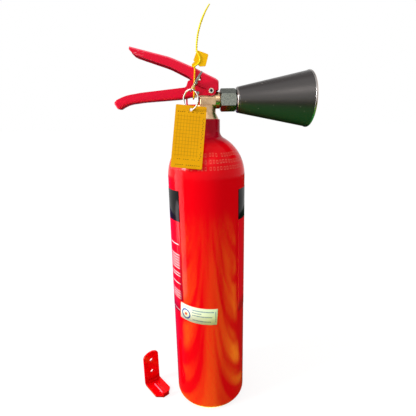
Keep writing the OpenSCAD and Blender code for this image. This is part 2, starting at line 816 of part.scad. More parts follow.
// Pull-tight plastic seal: a strand looped round lever and handle, a flag and a beaded tail
module tamper_seal() {
    flag_y = -strand_y;
    color("gold") {
        strand_loop();
        for (shape = [flag, flag_neck])
            translate([0, flag_y, 0]) side(flag_t) polygon([for (p = shape) [strand_x, strand_top] + p]);
        translate([0, flag_y, 0]) side(flag_t) tail();
        for (i = [0 : 4])
            translate([strand_x, flag_y, strand_top] + bead_at(i)) sphere(d = bead_d, $fn = 24);
    }
}

// The strand: a closed loop of round section with rounded corners, standing across the handles
module strand_loop() {
    bend = 2;
    h = strand_top - strand_low;
    translate([strand_x, 0, strand_low]) {
        for (m = [0, 1]) mirror([0, m, 0]) {
            translate([0, strand_y, bend]) cylinder(d = strand_d, h = h - 2 * bend);
            along_y([0, -cut, 0]) cylinder(d = strand_d, h = strand_y - bend + cut);
            along_y([0, -cut, h]) cylinder(d = strand_d, h = strand_y - bend + cut);
            translate([0, strand_y - bend, bend]) rotate([0, 90, 0])
                rotate_extrude(angle = 90) translate([bend, 0]) circle(d = strand_d);
            translate([0, strand_y - bend, h - bend]) rotate([0, 90, 0]) rotate([0, 0, 90])
                rotate_extrude(angle = 90) translate([bend, 0]) circle(d = strand_d);
        }
    }
}

module tail() {
    c = [strand_x, strand_top] + tail_foot + [tail_r, 0];
    polygon(concat(
        arc(c, tail_r + tail_w / 2, 180, 180 - tail_turn, 12),
        arc(c, tail_r - tail_w / 4, 180 - tail_turn, 180, 12)
    ));
}

// Threaded sleeve screwed into the outlet boss
module outlet_adapter() {
    color("goldenrod") difference() {
        union() {
            along_x([boss_socket_x + fit_gap, 0, outlet_z])
                cylinder(d = boss_socket_d - 2 * fit_gap, h = adapter_end - boss_socket_x - fit_gap);
            along_x([boss_x + fit_gap, 0, outlet_z])
                cylinder(d = nut_thread_d - 2 * fit_gap, h = adapter_end - boss_x - fit_gap);
        }
        along_x([0, 0, outlet_z]) cylinder(d = gas_d, h = big);
    }
}

// Sealing washer between the adapter and the swivel stub
module swivel_washer() {
    color("ivory") along_x([adapter_end + fit_gap / 2, 0, outlet_z])
        tube(nut_thread_d - 2 * fit_gap, gas_d, washer_w);
}

// Hexagon union nut that holds the horn's stub to the adapter
module coupling_nut() {
    color("darkgray") difference() {
        along_x([nut_x, 0, outlet_z]) nut_blank(nut_af, nut_l, 1.2);
        along_x([nut_x - cut, 0, outlet_z]) cylinder(d = nut_thread_d, h = nut_l - lip_ring_w + cut);
        along_x([nut_x, 0, outlet_z]) cylinder(d = stub_d + 2 * fit_gap, h = nut_l + cut);
    }
}

// Brass tube with a flange inside the nut; it carries the horn
module swivel_stub() {
    color("goldenrod") difference() {
        union() {
            along_x([stub_flange_x - stub_flange_w, 0, outlet_z])
                cylinder(d = nut_thread_d - 2 * fit_gap, h = stub_flange_w);
            along_x([stub_flange_x - cut, 0, outlet_z])
                cylinder(d = stub_d, h = stub_end - stub_flange_x + cut);
        }
        along_x([0, 0, outlet_z]) cylinder(d = gas_d, h = big);
    }
}

// Nozzle in the horn's small end, with one jet along its axis
module discharge_nozzle() {
    color("goldenrod") difference() {
        union() {
            along_x([stub_end, 0, outlet_z]) cylinder(d = stub_d, h = nozzle_l / 2);
            along_x([stub_end + nozzle_l / 2 - cut, 0, outlet_z])
                cylinder(d1 = stub_d, d2 = stub_d / 2, h = nozzle_l / 2);
        }
        along_x([0, 0, outlet_z]) cylinder(d = gas_d / 2, h = big);
    }
}

// Spun aluminium disc that closes the horn's small end
module horn_collar() {
    color("lightgray") along_x([collar_x, 0, outlet_z])
        tube(horn_d1, stub_d + 2 * run_gap, collar_t - run_gap);
}

// Moulded cone
module horn_cone() {
    r1 = horn_d1 / 2;
    r2 = horn_d2 / 2;
    color("dimgray") along_x([horn_x, 0, outlet_z]) rotate_extrude() polygon([
        [r1 - horn_wall, 0], [r1, 0], [r2, horn_l], [r2 - horn_wall, horn_l]
    ]);
}

// Rolled metal edge on the horn's mouth
module horn_rim() {
    r2 = horn_d2 / 2;
    color("silver") along_x([rim_x + run_gap, 0, outlet_z]) rotate_extrude()
        translate([r2 - horn_wall, 0]) polygon([
            [0, 0],
            [horn_wall + rim_out, 0],
            [horn_wall + rim_out, rim_w - 1],
            [horn_wall + rim_out - 1, rim_w],
            [1, rim_w],
            [0, rim_w - 1]
        ]);
}

// Loose wall bracket: plate with two screw holes, and a ribbed tongue with an upturned lip
module wall_bracket() {
    half = bracket_w / 2;
    shoulder_l = bracket_l - (bracket_w - lip_w) / 2 - 2;
    top_r = (half * half + bracket_crown * bracket_crown) / (2 * bracket_crown);
    color("crimson") translate([bracket_x, bracket_y, 0]) rotate([0, 0, bracket_turn]) {
        difference() {
            rotate([90, 0, 0]) linear_extrude(bracket_t) polygon(concat(
                [[-half, bracket_bend], [half, bracket_bend]],
                arc([0, bracket_h - top_r], top_r, 90 - asin(half / top_r), 90 + asin(half / top_r))
            ));
            for (z = [screw_z, screw_z + screw_pitch])
                along_y([0, -big / 2, z]) cylinder(d = screw_d, h = big);
        }
        translate([-half, -bracket_bend, bracket_bend]) rotate([0, 90, 0])
            rotate_extrude(angle = 90)
            translate([bracket_bend - bracket_t, 0]) square([bracket_t, bracket_w]);
        linear_extrude(bracket_t) polygon([
            [-half, -bracket_bend],
            [-half, -shoulder_l],
            [-lip_w / 2, -bracket_l],
            [lip_w / 2, -bracket_l],
            [half, -shoulder_l],
            [half, -bracket_bend]
        ]);
        translate([-lip_w / 2, -bracket_l, 0]) cube([lip_w, bracket_t, lip_h]);
        intersection() {
            translate([0, -bracket_l + 2 * bracket_t, rib_h + bracket_t - rib_r]) rotate([-90, 0, 0])
                cylinder(r = rib_r, h = bracket_l - bracket_bend - 3 * bracket_t);
            translate([-half, -bracket_l, bracket_t - cut]) cube([bracket_w, bracket_l, bracket_bend]);
        }
    }
}

cylinder_shell();
wraparound_label();
inspection_sticker();
valve_body();
valve_seat();
poppet();
poppet_seal();
poppet_spring();
spring_retainer();
dip_tube();
valve_stem();
stem_o_ring();
stem_gland();
burst_disc();
burst_washer();
burst_plug();
carrying_handle();
fixing_rivet();
squeeze_lever();
pivot_rivet();
hanger_loop();
safety_pin();
pull_ring();
key_ring();
inspection_tag();
tamper_seal();
outlet_adapter();
swivel_washer();
coupling_nut();
swivel_stub();
discharge_nozzle();
horn_collar();
horn_cone();
horn_rim();
wall_bracket();
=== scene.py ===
import math

import bmesh
import bpy
from mathutils import Matrix, Vector


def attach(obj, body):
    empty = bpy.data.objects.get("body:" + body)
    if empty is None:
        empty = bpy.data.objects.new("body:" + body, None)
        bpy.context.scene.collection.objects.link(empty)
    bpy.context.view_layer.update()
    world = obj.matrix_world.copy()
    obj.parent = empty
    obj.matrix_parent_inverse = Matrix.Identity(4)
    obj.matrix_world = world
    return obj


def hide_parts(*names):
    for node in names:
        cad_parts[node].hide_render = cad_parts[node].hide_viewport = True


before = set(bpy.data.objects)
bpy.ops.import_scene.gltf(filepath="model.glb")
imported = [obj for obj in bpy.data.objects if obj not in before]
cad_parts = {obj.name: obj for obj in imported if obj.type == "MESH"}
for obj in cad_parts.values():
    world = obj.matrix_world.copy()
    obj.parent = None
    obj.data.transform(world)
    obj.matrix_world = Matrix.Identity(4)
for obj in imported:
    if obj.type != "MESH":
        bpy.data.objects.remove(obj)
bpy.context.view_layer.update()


# ------------------------------------------------------------------ cylinder
# One seamless steel bottle: drawn from a billet, its shoulder and neck spun closed, its base dished so
# that it stands on a ring. Stoved in glossy red enamel over three rows of punched inspection marks.
def mm(x, y, z):
    """A place given in millimetres."""
    return Vector((x, y, z)) / 1000


def line_to(shape, start, place):
    """Draws a straight edge from a vertex to a new one."""
    end = shape.verts.new(place)
    shape.edges.new((start, end))
    return end


def parts_of(geom, kind):
    """The vertices, edges or faces among what an operator gives."""
    return [part for part in geom if isinstance(part, kind)]


def arc_to(shape, start, centre, turn, steps):
    """Sweeps a vertex round a centre, anticlockwise as seen from the front, and gives the arc's end."""
    swept = bmesh.ops.spin(shape, geom=[start], cent=centre, axis=(0, -1, 0),
                           angle=math.radians(turn), steps=steps)
    return parts_of(swept["geom_last"], bmesh.types.BMVert)[0]


def turn_round(shape, steps):
    """Turns a drawn profile once round the Z axis and closes it."""
    bmesh.ops.spin(shape, geom=shape.verts[:] + shape.edges[:], cent=(0, 0, 0), axis=(0, 0, 1),
                   angle=math.tau, steps=steps, use_merge=True)
    bmesh.ops.remove_doubles(shape, verts=shape.verts, dist=1e-6)
    bmesh.ops.recalc_face_normals(shape, faces=shape.faces)


def piece_of(name, shape, finish, crease=32):
    """Makes a finished shape an object; edges that bend more than the crease stay sharp."""
    mesh = bpy.data.meshes.new(name)
    shape.to_mesh(mesh)
    shape.free()
    mesh.shade_smooth()
    mesh.set_sharp_from_angle(angle=math.radians(crease))
    mesh.materials.append(finish)
    piece = bpy.data.objects.new(name, mesh)
    bpy.context.scene.collection.objects.link(piece)
    return piece


def paint(code):
    """An sRGB hex colour as linear light."""
    parts = [int(code[i:i + 2], 16) / 255 for i in (1, 3, 5)]
    return [c / 12.92 if c < 0.04045 else ((c + 0.055) / 1.055) ** 2.4 for c in parts] + [1]


def new_finish(name):
    """Opens a new material, and gives it together with the function that adds nodes to it."""
    finish = bpy.data.materials.new(name)
    finish.use_nodes = True
    tree = finish.node_tree
    tree.nodes.clear()

    def add(kind, *inputs, **settings):
        """Adds one node. Inputs fill its sockets in order, settings go by name, _ for a space. Each is a
        value, a hex colour, a node, or a node with the name of its output."""
        node = tree.nodes.new("ShaderNode" + kind)
        joins = []
        for name, value in settings.items():
            if name.replace("_", " ") in node.inputs:
                joins.append((node.inputs[name.replace("_", " ")], value))
            else:
                setattr(node, name, value)
        for socket, value in joins + list(zip([s for s in node.inputs if s.enabled], inputs)):
            if isinstance(value, bpy.types.Node):
                tree.links.new(next(s for s in value.outputs if s.enabled), socket)
            elif isinstance(value, tuple) and isinstance(value[0], bpy.types.Node):
                tree.links.new(value[0].outputs[value[1]], socket)
            else:
                socket.default_value = paint(value) if isinstance(value, str) else value
        return node

    return finish, add


shell_r = 54
shoulder_z = 358.11
neck_top = 433

shell = bmesh.new()
pen = shell.verts.new(mm(0, 0, 7))
pen = arc_to(shell, pen, mm(0, 0, -99.64), -20.88, 8)
pen = line_to(shell, pen, mm(46, 0, 0))
pen = arc_to(shell, pen, mm(46, 0, 8), 90, 10)
pen = line_to(shell, pen, mm(shell_r, 0, shoulder_z))
pen = arc_to(shell, pen, mm(-4, 0, shoulder_z), 60, 30)
pen = arc_to(shell, pen, mm(30, 0, 417), -60, 12)
pen = line_to(shell, pen, mm(20, 0, neck_top - 0.8))
pen = arc_to(shell, pen, mm(19.2, 0, neck_top - 0.8), 90, 4)
pen = line_to(shell, pen, mm(13, 0, neck_top))
pen = line_to(shell, pen, mm(13, 0, 404.87))
pen = line_to(shell, pen, mm(23, 0, 404.87))
pen = arc_to(shell, pen, mm(-4, 0, shoulder_z), -60, 14)
pen = line_to(shell, pen, mm(50, 0, 11.32))
pen = arc_to(shell, pen, mm(42, 0, 11.32), -110.73, 8)
pen = arc_to(shell, pen, mm(0, 0, -99.64), 20.73, 6)
turn_round(shell, 160)

# Stoved enamel on steel: a deep pure red, sprayed wet, so it has a smooth gloss with a faint orange peel
# about 2.5 mm wide and a slow waviness of the drawn wall that breaks long reflections into flames.
enamel, add = new_finish("stoved_red_enamel")
place = add("TexCoord"), "Object"
axes = add("SeparateXYZ", place)
stretched = add("Mapping", place, Scale=(1, 1, 0.22))
waves = add("TexNoise", stretched, Scale=34, Detail=2, Roughness=0.4)
peel = add("TexNoise", place, Scale=400, Detail=1)
dust = add("TexNoise", place, Scale=1300, Detail=2)
# Three rows of punched marks, 8 mm apart, each mark a plain box 2 mm wide and 4 mm high
bearing = add("Math", (axes, "X"), (axes, "Y"), operation="ARCTAN2")
mark_x = add("Math", bearing, 50 / 4.4, operation="MULTIPLY")
mark_z = add("Math", (axes, "Z"), 1000 / 8.2, -0.37, operation="MULTIPLY_ADD")
mark_at = add("CombineXYZ", mark_x, mark_z)
punch = add("TexVoronoi", mark_at, voronoi_dimensions="2D", distance="CHEBYCHEV", Scale=1, Randomness=0.12)
outline = add("Math", (punch, "Distance"), 0.22, 0.055, operation="COMPARE")
kept = add("Math", (punch, "Color"), 0.2, operation="GREATER_THAN")
rows = add("Math", (axes, "Z"), 0.380, 0.0125, operation="COMPARE")
mark = add("Math", outline, kept, operation="MULTIPLY")
mark = add("Math", mark, rows, operation="MULTIPLY")
wavy = add("Bump", Distance=0.0005, Height=waves)
peeled = add("Bump", Distance=0.000008, Height=peel, Normal=wavy)
punched = add("Bump", Distance=0.0006, invert=True, Height=mark, Normal=peeled)
batch = add("MapRange", waves, To_Min=0.0, To_Max=0.35)
red = add("Mix", batch, "#ef0111", "#e2000d", data_type="RGBA")
# Painted highlight: the marks' outlines are mixed towards a pale red, as light caught on their edges
edge = add("Math", mark, 0.65, operation="MULTIPLY")
red = add("Mix", edge, red, "#ff6a58", data_type="RGBA")
# Painted shade: the neck is given a deeper, cooler red from 400 mm up, for the shade that the valve and
# handles throw on it
neck = add("MapRange", (axes, "Z"), interpolation_type="SMOOTHSTEP", From_Min=0.398, From_Max=0.410)
red = add("Mix", neck, red, "#ac021e", data_type="RGBA")
dull = add("MapRange", dust, From_Min=0.45, From_Max=0.8, To_Min=0.1, To_Max=0.2)
skin = add("BsdfPrincipled", IOR=1.5, Specular_IOR_Level=0.08, Base_Color=red, Roughness=dull,
           Normal=punched)
add("OutputMaterial", skin)

cylinder = piece_of("enamelled_cylinder", shell, enamel)
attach(cylinder, "cylinder")
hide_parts("cylinder_shell")


# --------------------------------------------------------------------- label
# A thin printed film wrapped round the back of the cylinder and stuck down: a black band along its top,
# and below it a red field with white print. Low down it is cut back beside the sticker.
def film_piece(name, shape, finish):
    """Makes a wrapped film a piece 0.1 mm thick, its faces turned away from the cylinder."""
    face = shape.faces[:][0]
    if face.normal.dot(face.calc_center_median()) < 0:
        bmesh.ops.reverse_faces(shape, faces=shape.faces)
    piece = piece_of(name, shape, finish)
    sheet = piece.modifiers.new("film thickness", "SOLIDIFY")
    sheet.thickness, sheet.offset = 0.0001, 1
    return piece


label_r = 54.13
notch_z = 180
band_z = 299.5
film = bmesh.new()
low = film.verts.new(mm(label_r, 0, 158))
notch = line_to(film, low, mm(label_r, 0, notch_z))
band = line_to(film, notch, mm(label_r, 0, band_z))
line_to(film, band, mm(label_r, 0, 342))
bmesh.ops.rotate(film, verts=film.verts, matrix=Matrix.Rotation(math.radians(-42), 3, "Z"))
wrapped = bmesh.ops.spin(film, geom=film.verts[:] + film.edges[:], cent=(0, 0, 0), axis=(0, 0, 1),
                         angle=math.radians(257), steps=114)
upper_end = [e for e in parts_of(wrapped["geom_last"], bmesh.types.BMEdge)
             if min(v.co.z for v in e.verts) > notch_z / 1000 - 0.001]
bmesh.ops.spin(film, geom=upper_end + list({v for e in upper_end for v in e.verts}), cent=(0, 0, 0),
               axis=(0, 0, 1), angle=math.radians(8.5), steps=4)
bmesh.ops.recalc_face_normals(film, faces=film.faces)

# Gloss vinyl film, printed: the ink lies flat under a clear skin, so the black shows the room in it.
vinyl, add = new_finish("printed_vinyl_film")
place = add("TexCoord"), "Object"
axes = add("SeparateXYZ", place)
bearing = add("Math", (axes, "X"), (axes, "Y"), operation="ARCTAN2")
along = add("Math", bearing, label_r / 1000, operation="MULTIPLY")
flat = add("CombineXYZ", along, (axes, "Z"))
# Plain strokes stand in for print: lines 1.3 mm high, 4 mm apart and up to 37 mm long
strokes = add("TexBrick", flat, offset=0.37, offset_frequency=1, Scale=1, Mortar_Size=0.00135,
              Mortar_Smooth=0.0, Bias=0.0, Brick_Width=0.040, Row_Height=0.0040, Color1=(1, 1, 1, 1),
              Color2=(0, 0, 0, 1), Mortar=(0, 0, 0, 1))
ink = add("Math", (strokes, "Color"), 0.12, operation="GREATER_THAN")
# Columns of them 50 mm apart round the back, in one deep block, a shorter one and five single lines
turns = add("Math", bearing, 1.081, 2.519, operation="MULTIPLY_ADD")
in_column = add("Math", turns, operation="FRACT")
in_column = add("Math", in_column, 0.5, 0.42, operation="COMPARE")
in_block = add("Math", (axes, "Z"), 0.2340, 0.0175, operation="COMPARE")
for height, half in ((0.188, 0.0062), (0.206, 0.002), (0.278, 0.0016), (0.266, 0.002), (0.174, 0.0016),
                     (0.162, 0.0016)):
    line = add("Math", (axes, "Z"), height, half, operation="COMPARE")
    in_block = add("Math", in_block, line, operation="MAXIMUM")
clear_end = add("Math", bearing, 1.5, operation="LESS_THAN")
for part in (in_column, in_block, clear_end):
    ink = add("Math", ink, part, operation="MULTIPLY")
field = add("Mix", ink, "#f8021e", "#fff0f2", data_type="RGBA")
in_band = add("Math", (axes, "Z"), band_z / 1000, operation="GREATER_THAN")
printed = add("Mix", in_band, field, "#0d0d0d", data_type="RGBA")
ripple = add("TexNoise", place, Scale=60, Detail=2)
rippled = add("Bump", Distance=0.0001, Height=ripple)
skin = add("BsdfPrincipled", IOR=1.46, Roughness=0.18, Specular_IOR_Level=0.12, Base_Color=printed,
           Normal=rippled)
add("OutputMaterial", skin)

label = film_piece("wraparound_film_label", film, vinyl)
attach(label, "cylinder")
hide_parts("wraparound_label")


# ------------------------------------------------------------------- sticker
# A small paper-white film sticker on the front, rubbed down by hand and a little crooked. Its printing
# is plain: a blue ring round a red dot, lines and a side line, where an inspector's details would stand.
sticker_shape = bmesh.new()
foot = sticker_shape.verts.new(mm(label_r, 0, 152.4))
head = line_to(sticker_shape, foot, mm(label_r, 0, 177.6))
for corner, way in ((foot, -144), (head, -142)):
    bmesh.ops.rotate(sticker_shape, verts=[corner], matrix=Matrix.Rotation(math.radians(way), 3, "Z"))
bmesh.ops.spin(sticker_shape, geom=sticker_shape.verts[:] + sticker_shape.edges[:], cent=(0, 0, 0),
               axis=(0, 0, 1), angle=math.radians(62), steps=32, dvec=mm(0, 0, -2.6 / 32))

# Matt paper-filled film: pale, a little green towards its right end, with blue-grey ink that sinks in.
paper, add = new_finish("printed_paper_film")
place = add("TexCoord"), "Object"
axes = add("SeparateXYZ", place)
front_y = add("Math", (axes, "Y"), -1, operation="MULTIPLY")
bearing = add("Math", (axes, "X"), front_y, operation="ARCTAN2")
along = add("Math", bearing, label_r / 1000, operation="MULTIPLY")
# Depth below the sticker's crooked upper edge, which falls 2.6 mm in 58.6 mm
slope = add("Math", along, -0.0444, 0.1753, operation="MULTIPLY_ADD")
down = add("Math", slope, (axes, "Z"), operation="SUBTRACT")
flat = add("CombineXYZ", along, down)
ring_at = add("VectorMath", flat, (-0.0392, 0.0147, 0), operation="DISTANCE")
ring = add("Math", ring_at, 0.0069, 0.0011, operation="COMPARE")
dot = add("Math", ring_at, 0.0022, operation="LESS_THAN")
# The lines: middle along, depth, half length and half height, each broken by a noise 1.1 mm wide
lines = None
for across, depth, half, rise in ((-0.0125, 0.0052, 0.0163, 0.00085), (-0.0215, 0.0092, 0.0072, 0.0008),
                                  (-0.0138, 0.0133, 0.0150, 0.00085), (-0.0146, 0.0206, 0.0138, 0.0008),
                                  (-0.0383, 0.0036, 0.0070, 0.0005), (0.0060, 0.0125, 0.0006, 0.0085)):
    wide = add("Math", along, across, half, operation="COMPARE")
    high = add("Math", down, depth, rise, operation="COMPARE")
    line = add("Math", wide, high, operation="MULTIPLY")
    lines = add("Math", lines, line, operation="MAXIMUM") if lines else line
gaps = add("TexNoise", flat, Scale=900, Detail=1)
filled = add("MapRange", gaps, From_Min=0.36, From_Max=0.5, To_Min=0.3, To_Max=0.85)
lines = add("Math", lines, filled, operation="MULTIPLY")
fibre = add("TexNoise", place, Scale=700, Detail=3)
fibres = add("MapRange", fibre, To_Min=-0.1, To_Max=0.1)
greener = add("MapRange", along, From_Min=-0.045, From_Max=0.008)
greener = add("Math", greener, fibres, operation="ADD")
stock = add("Mix", greener, "#eef0dc", "#cfe3ae", data_type="RGBA")
for part, colour in ((lines, "#3f6f86"), (ring, "#0c469e"), (dot, "#ea3410")):
    stock = add("Mix", part, stock, colour, data_type="RGBA")
pressed = add("Bump", Distance=0.00003, Height=fibre)
skin = add("BsdfPrincipled", IOR=1.45, Roughness=0.5, Specular_IOR_Level=0.3, Base_Color=stock,
           Normal=pressed)
add("OutputMaterial", skin)

sticker = film_piece("inspection_film_sticker", sticker_shape, paper)
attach(sticker, "cylinder")
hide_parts("inspection_sticker")


# --------------------------------------------------------------- valve body
# A hot-forged brass body, machined where it matters: a threaded shank in the neck, a conical flange, a
# round body, a block with the outlet boss, and a slim head that carries the handles.
def draw_outline(shape, corners, back=0):
    """Draws a closed outline in the X-Z plane and gives its face. A corner is (x, z), or (x, z, radius)
    where it is rounded."""
    verts = [shape.verts.new(mm(corner[0], back, corner[1])) for corner in corners]
    shape.faces.new(verts)
    trims = []
    for i, corner in enumerate(corners):
        radius = corner[2] if len(corner) > 2 else 0
        if radius:
            to_last = verts[i - 1].co - verts[i].co
            to_next = verts[(i + 1) % len(verts)].co - verts[i].co
            turn = math.pi - to_last.angle(to_next)
            trims.append((verts[i], radius / 1000 * math.tan(turn / 2), max(2, int(math.degrees(turn) / 9))))
    for vert, trim, steps in trims:
        bmesh.ops.bevel(shape, geom=[vert], offset=trim, offset_type="OFFSET", segments=steps, profile=0.5,
                        affect="VERTICES", material=-1)
    return shape.faces[:][-1]


def plate_of(corners, back, front):
    """A solid plate with that side outline, from one Y to another."""
    shape = bmesh.new()
    draw_outline(shape, corners, back)
    pulled = bmesh.ops.extrude_face_region(shape, geom=shape.faces[:])
    bmesh.ops.translate(shape, verts=parts_of(pulled["geom"], bmesh.types.BMVert),
                        vec=mm(0, front - back, 0))
    bmesh.ops.recalc_face_normals(shape, faces=shape.faces)
    return shape


def turned(profile, steps=64, lay=None, centre=(0, 0, 0)):
    """A part turned on a lathe. A corner of its profile is (radius, height), or (radius, height, rounding);
    lay turns its axis, and then it moves to its centre."""
    shape = bmesh.new()
    face = draw_outline(shape, profile)
    bmesh.ops.delete(shape, geom=[face], context="FACES_ONLY")
    on_axis = [e for e in shape.edges if all(abs(v.co.x) < 1e-7 for v in e.verts)]
    bmesh.ops.delete(shape, geom=on_axis, context="EDGES")
    turn_round(shape, steps)
    if lay:
        bmesh.ops.rotate(shape, verts=shape.verts, cent=(0, 0, 0), matrix=lay)
    bmesh.ops.translate(shape, verts=shape.verts, vec=mm(*centre))
    return shape


def rod(radius, low, high, steps, lay=None, centre=(0, 0, 0)):
    """A plain round bar, to add or to cut a hole with; in six steps it is a hexagon."""
    return turned([(0, low), (radius, low), (radius, high), (0, high)], steps, lay, centre)


along_x = Matrix.Rotation(math.radians(90), 3, "Y")
along_y = Matrix.Rotation(math.radians(-90), 3, "X")


def settle(piece):
    """Makes a piece's modifiers so far part of its mesh."""
    seen = bpy.context.evaluated_depsgraph_get()
    mesh = bpy.data.meshes.new_from_object(piece.evaluated_get(seen))
    piece.modifiers.clear()
    piece.data = mesh


def work(piece, how, *tools):
    """Joins, cuts or crosses a piece with other shapes in turn. It is done at a thousand times the size,
    because the solver loses faces that are only millimetres wide."""
    settle(piece)
    piece.data.transform(Matrix.Scale(1000, 4))
    for tool in tools:
        cutter = piece_of("tool", tool, piece.data.materials[0])
        cutter.data.transform(Matrix.Scale(1000, 4))
        step = piece.modifiers.new("work", "BOOLEAN")
        step.operation, step.object, step.solver = how, cutter, "EXACT"
        settle(piece)
        bpy.data.objects.remove(cutter)
    piece.data.transform(Matrix.Scale(0.001, 4))
    piece.data.shade_smooth()
    piece.data.set_sharp_from_angle(angle=math.radians(32))


def break_edges(piece, width, steps=2, limit=38):
    """Takes the sharpness off a piece's edges."""
    bevel = piece.modifiers.new("broken edges", "BEVEL")
    bevel.width, bevel.segments, bevel.limit_method = width / 1000, steps, "ANGLE"
    bevel.angle_limit = math.radians(limit)
    bevel.harden_normals = True
    bevel.use_clamp_overlap = True


# Forged brass, pickled and left bare: tan rather than yellow, dull where the die left it, with fine
# upright tool marks about 0.5 mm apart where it was turned.
brass, add = new_finish("forged_brass")
place = add("TexCoord"), "Object"
axes = add("SeparateXYZ", place)
bearing = add("Math", (axes, "X"), (axes, "Y"), operation="ARCTAN2")
marks_at = add("CombineXYZ", add("Math", bearing, 28, operation="MULTIPLY"),
               add("Math", (axes, "Z"), 90, operation="MULTIPLY"))
tool_marks = add("TexNoise", marks_at, Scale=1, Detail=3, Roughness=0.6)
tarnish = add("TexNoise", place, Scale=130, Detail=4, Roughness=0.6)
metal = add("Mix", tarnish, "#e2c09c", "#9c7b54", data_type="RGBA")
dull = add("MapRange", tool_marks, To_Min=0.16, To_Max=0.4)
scored = add("Bump", Distance=0.00006, Height=tool_marks)
skin = add("BsdfPrincipled", Metallic=1.0, Base_Color=metal, Roughness=dull, Normal=scored)
add("OutputMaterial", skin)

outlet = (0, 0, 457.5)
bursting_port = (0, 0, 444.5)
pivot = (8, 0, 468.5)
rivet_at = (-9.5, 0, 466)
body = turned([(0, 409), (12.9, 409, 0.6), (12.9, 433), (18, 433), (18, 434.2, 0.5),
               (14.5, 441, 1.5), (14.5, 450.5), (0, 450.5)], 72)
block = plate_of([(-7, 450, 2.2), (14.2, 450, 1.8), (14.2, 462, 1.8), (-7, 462, 1.8)], -11, 11)
bmesh.ops.bevel(block, geom=[e for e in block.edges if abs(e.verts[0].co.y - e.verts[1].co.y) < 1e-6],
                offset=0.0014, segments=4, profile=0.5, affect="EDGES", material=-1)
boss = turned([(0, 12), (10.9, 12), (10.9, 20, 1.2), (0, 20)], 64, along_x, outlet)
head = plate_of([(-13.5, 461.5), (2, 461.5), (14, 462.5, 6), (14, 474.5, 6), (4, 474.5, 1),
                 (1.6, 470.5, 2), (-13.5, 470.5, 1.2)], -7.9, 7.9)
port = turned([(0, 2), (8.5, 2), (8.5, 17, 0.6), (0, 17)], 56, along_y, bursting_port)

valve = piece_of("forged_valve_body", body, brass)
work(valve, "UNION", block, boss, head, port)
work(valve, "DIFFERENCE",
     turned([(0, 400), (7.5, 400), (7.5, 450), (3.1, 450), (3.1, 455.6), (4.4, 455.6),
             (4.4, 470.5), (5.55, 470.5), (5.55, 480), (0, 480)]),
     turned([(0, 0), (3.5, 0), (3.5, 16), (7.5, 16), (7.5, 24), (0, 24)], 48, along_x, outlet),
     turned([(0, 0), (2.5, 0), (2.5, 12), (5, 12), (5, 20), (0, 20)], 48, along_y, bursting_port),
     rod(2.56, -12, 12, 48, along_y, pivot),
     rod(1.66, -12, 12, 32, along_y, rivet_at))
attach(valve, "cylinder")
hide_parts("valve_body")


# ----------------------------------------------------- gland, stem and inside
# The stem slides through a small hexagon gland and pushes a sprung poppet off its seat. Only the gland
# and the stem's tip stand out of the valve; the dip tube hangs from a ring screwed in under the spring.
def finish_node(name, finish):
    """Gives a CAD node its finish."""
    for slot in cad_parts[name].material_slots:
        slot.material = finish


def mottled(name, scale, detail, light, dark, dull=None, **skin):
    """A finish in two tones that a noise mixes; dull is the range of its roughness, where that varies."""
    finish, add = new_finish(name)
    noise = add("TexNoise", (add("TexCoord"), "Object"), Scale=scale, Detail=detail)
    skin["Base_Color"] = add("Mix", noise, light, dark, data_type="RGBA")
    if dull:
        skin["Roughness"] = add("MapRange", noise, To_Min=dull[0], To_Max=dull[1])
    add("OutputMaterial", add("BsdfPrincipled", **skin))
    return finish


# Ground stainless steel: bright, with fine rings round the stem that stretch its highlight
ground_steel, add = new_finish("ground_stainless_steel")
place = add("TexCoord"), "Object"
grind_at = add("Mapping", place, Scale=(1, 1, 14))
grind = add("TexNoise", grind_at, Scale=160, Detail=2)
dull = add("MapRange", grind, To_Min=0.14, To_Max=0.3)
ringed = add("Bump", Distance=0.00002, Height=grind)
skin = add("BsdfPrincipled", Metallic=1.0, Base_Color="#c9cbcb", Roughness=dull, Normal=ringed)
add("OutputMaterial", skin)

stem = piece_of("pressed_valve_stem", turned([(0, 447.9), (1.8, 447.9), (1.8, 455.6), (3, 455.6, 0.3),
                                              (3, 487.7, 2.9), (0, 487.7)], 48), ground_steel)
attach(stem, "stem")
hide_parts("valve_stem")

gland = piece_of("hexagon_gland", rod(5.427, 470.5, 475, 6), brass)
work(gland, "INTERSECT", turned([(0, 470.5), (5.43, 470.5), (5.43, 474.4), (4.7, 475), (0, 475)]))
work(gland, "UNION", turned([(0, 465.5), (4.34, 465.5, 0.3), (4.34, 471), (0, 471)]))
work(gland, "DIFFERENCE", rod(3.06, 460, 480, 64))
break_edges(gland, 0.15)
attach(gland, "cylinder")
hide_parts("stem_gland")

# Turned nylon: ivory, waxy, lets a little light in
nylon = mottled("turned_nylon", 600, 2, "#efe9d6", "#ddd5bd", Roughness=0.42, Subsurface_Weight=0.15,
                Subsurface_Scale=0.002)
# Oil-tempered spring wire: dark straw with drawn lines
spring_steel = mottled("tempered_spring_wire", 900, 3, "#8d8677", "#5f5a52", Metallic=1.0, Roughness=0.32)

# Extruded aluminium tube: pale grey, faint draw lines along its length
aluminium_tube, add = new_finish("extruded_aluminium")
place = add("TexCoord"), "Object"
lines_at = add("Mapping", place, Scale=(1, 1, 0.03))
lines = add("TexNoise", lines_at, Scale=1500, Detail=2)
dull = add("MapRange", lines, To_Min=0.3, To_Max=0.5)
skin = add("BsdfPrincipled", Metallic=1.0, Base_Color="#c6c8c9", Roughness=dull)
add("OutputMaterial", skin)

# Nitrile rubber: near black with a satin bloom
nitrile = mottled("moulded_nitrile_rubber", 800, 2, "#141414", "#232323", Roughness=0.6, IOR=1.52)

for name in ("valve_seat", "poppet_seal", "burst_washer", "swivel_washer"):
    finish_node(name, nylon)
for name in ("poppet", "spring_retainer"):
    finish_node(name, brass)
finish_node("poppet_spring", spring_steel)
finish_node("dip_tube", aluminium_tube)
finish_node("stem_o_ring", nitrile)


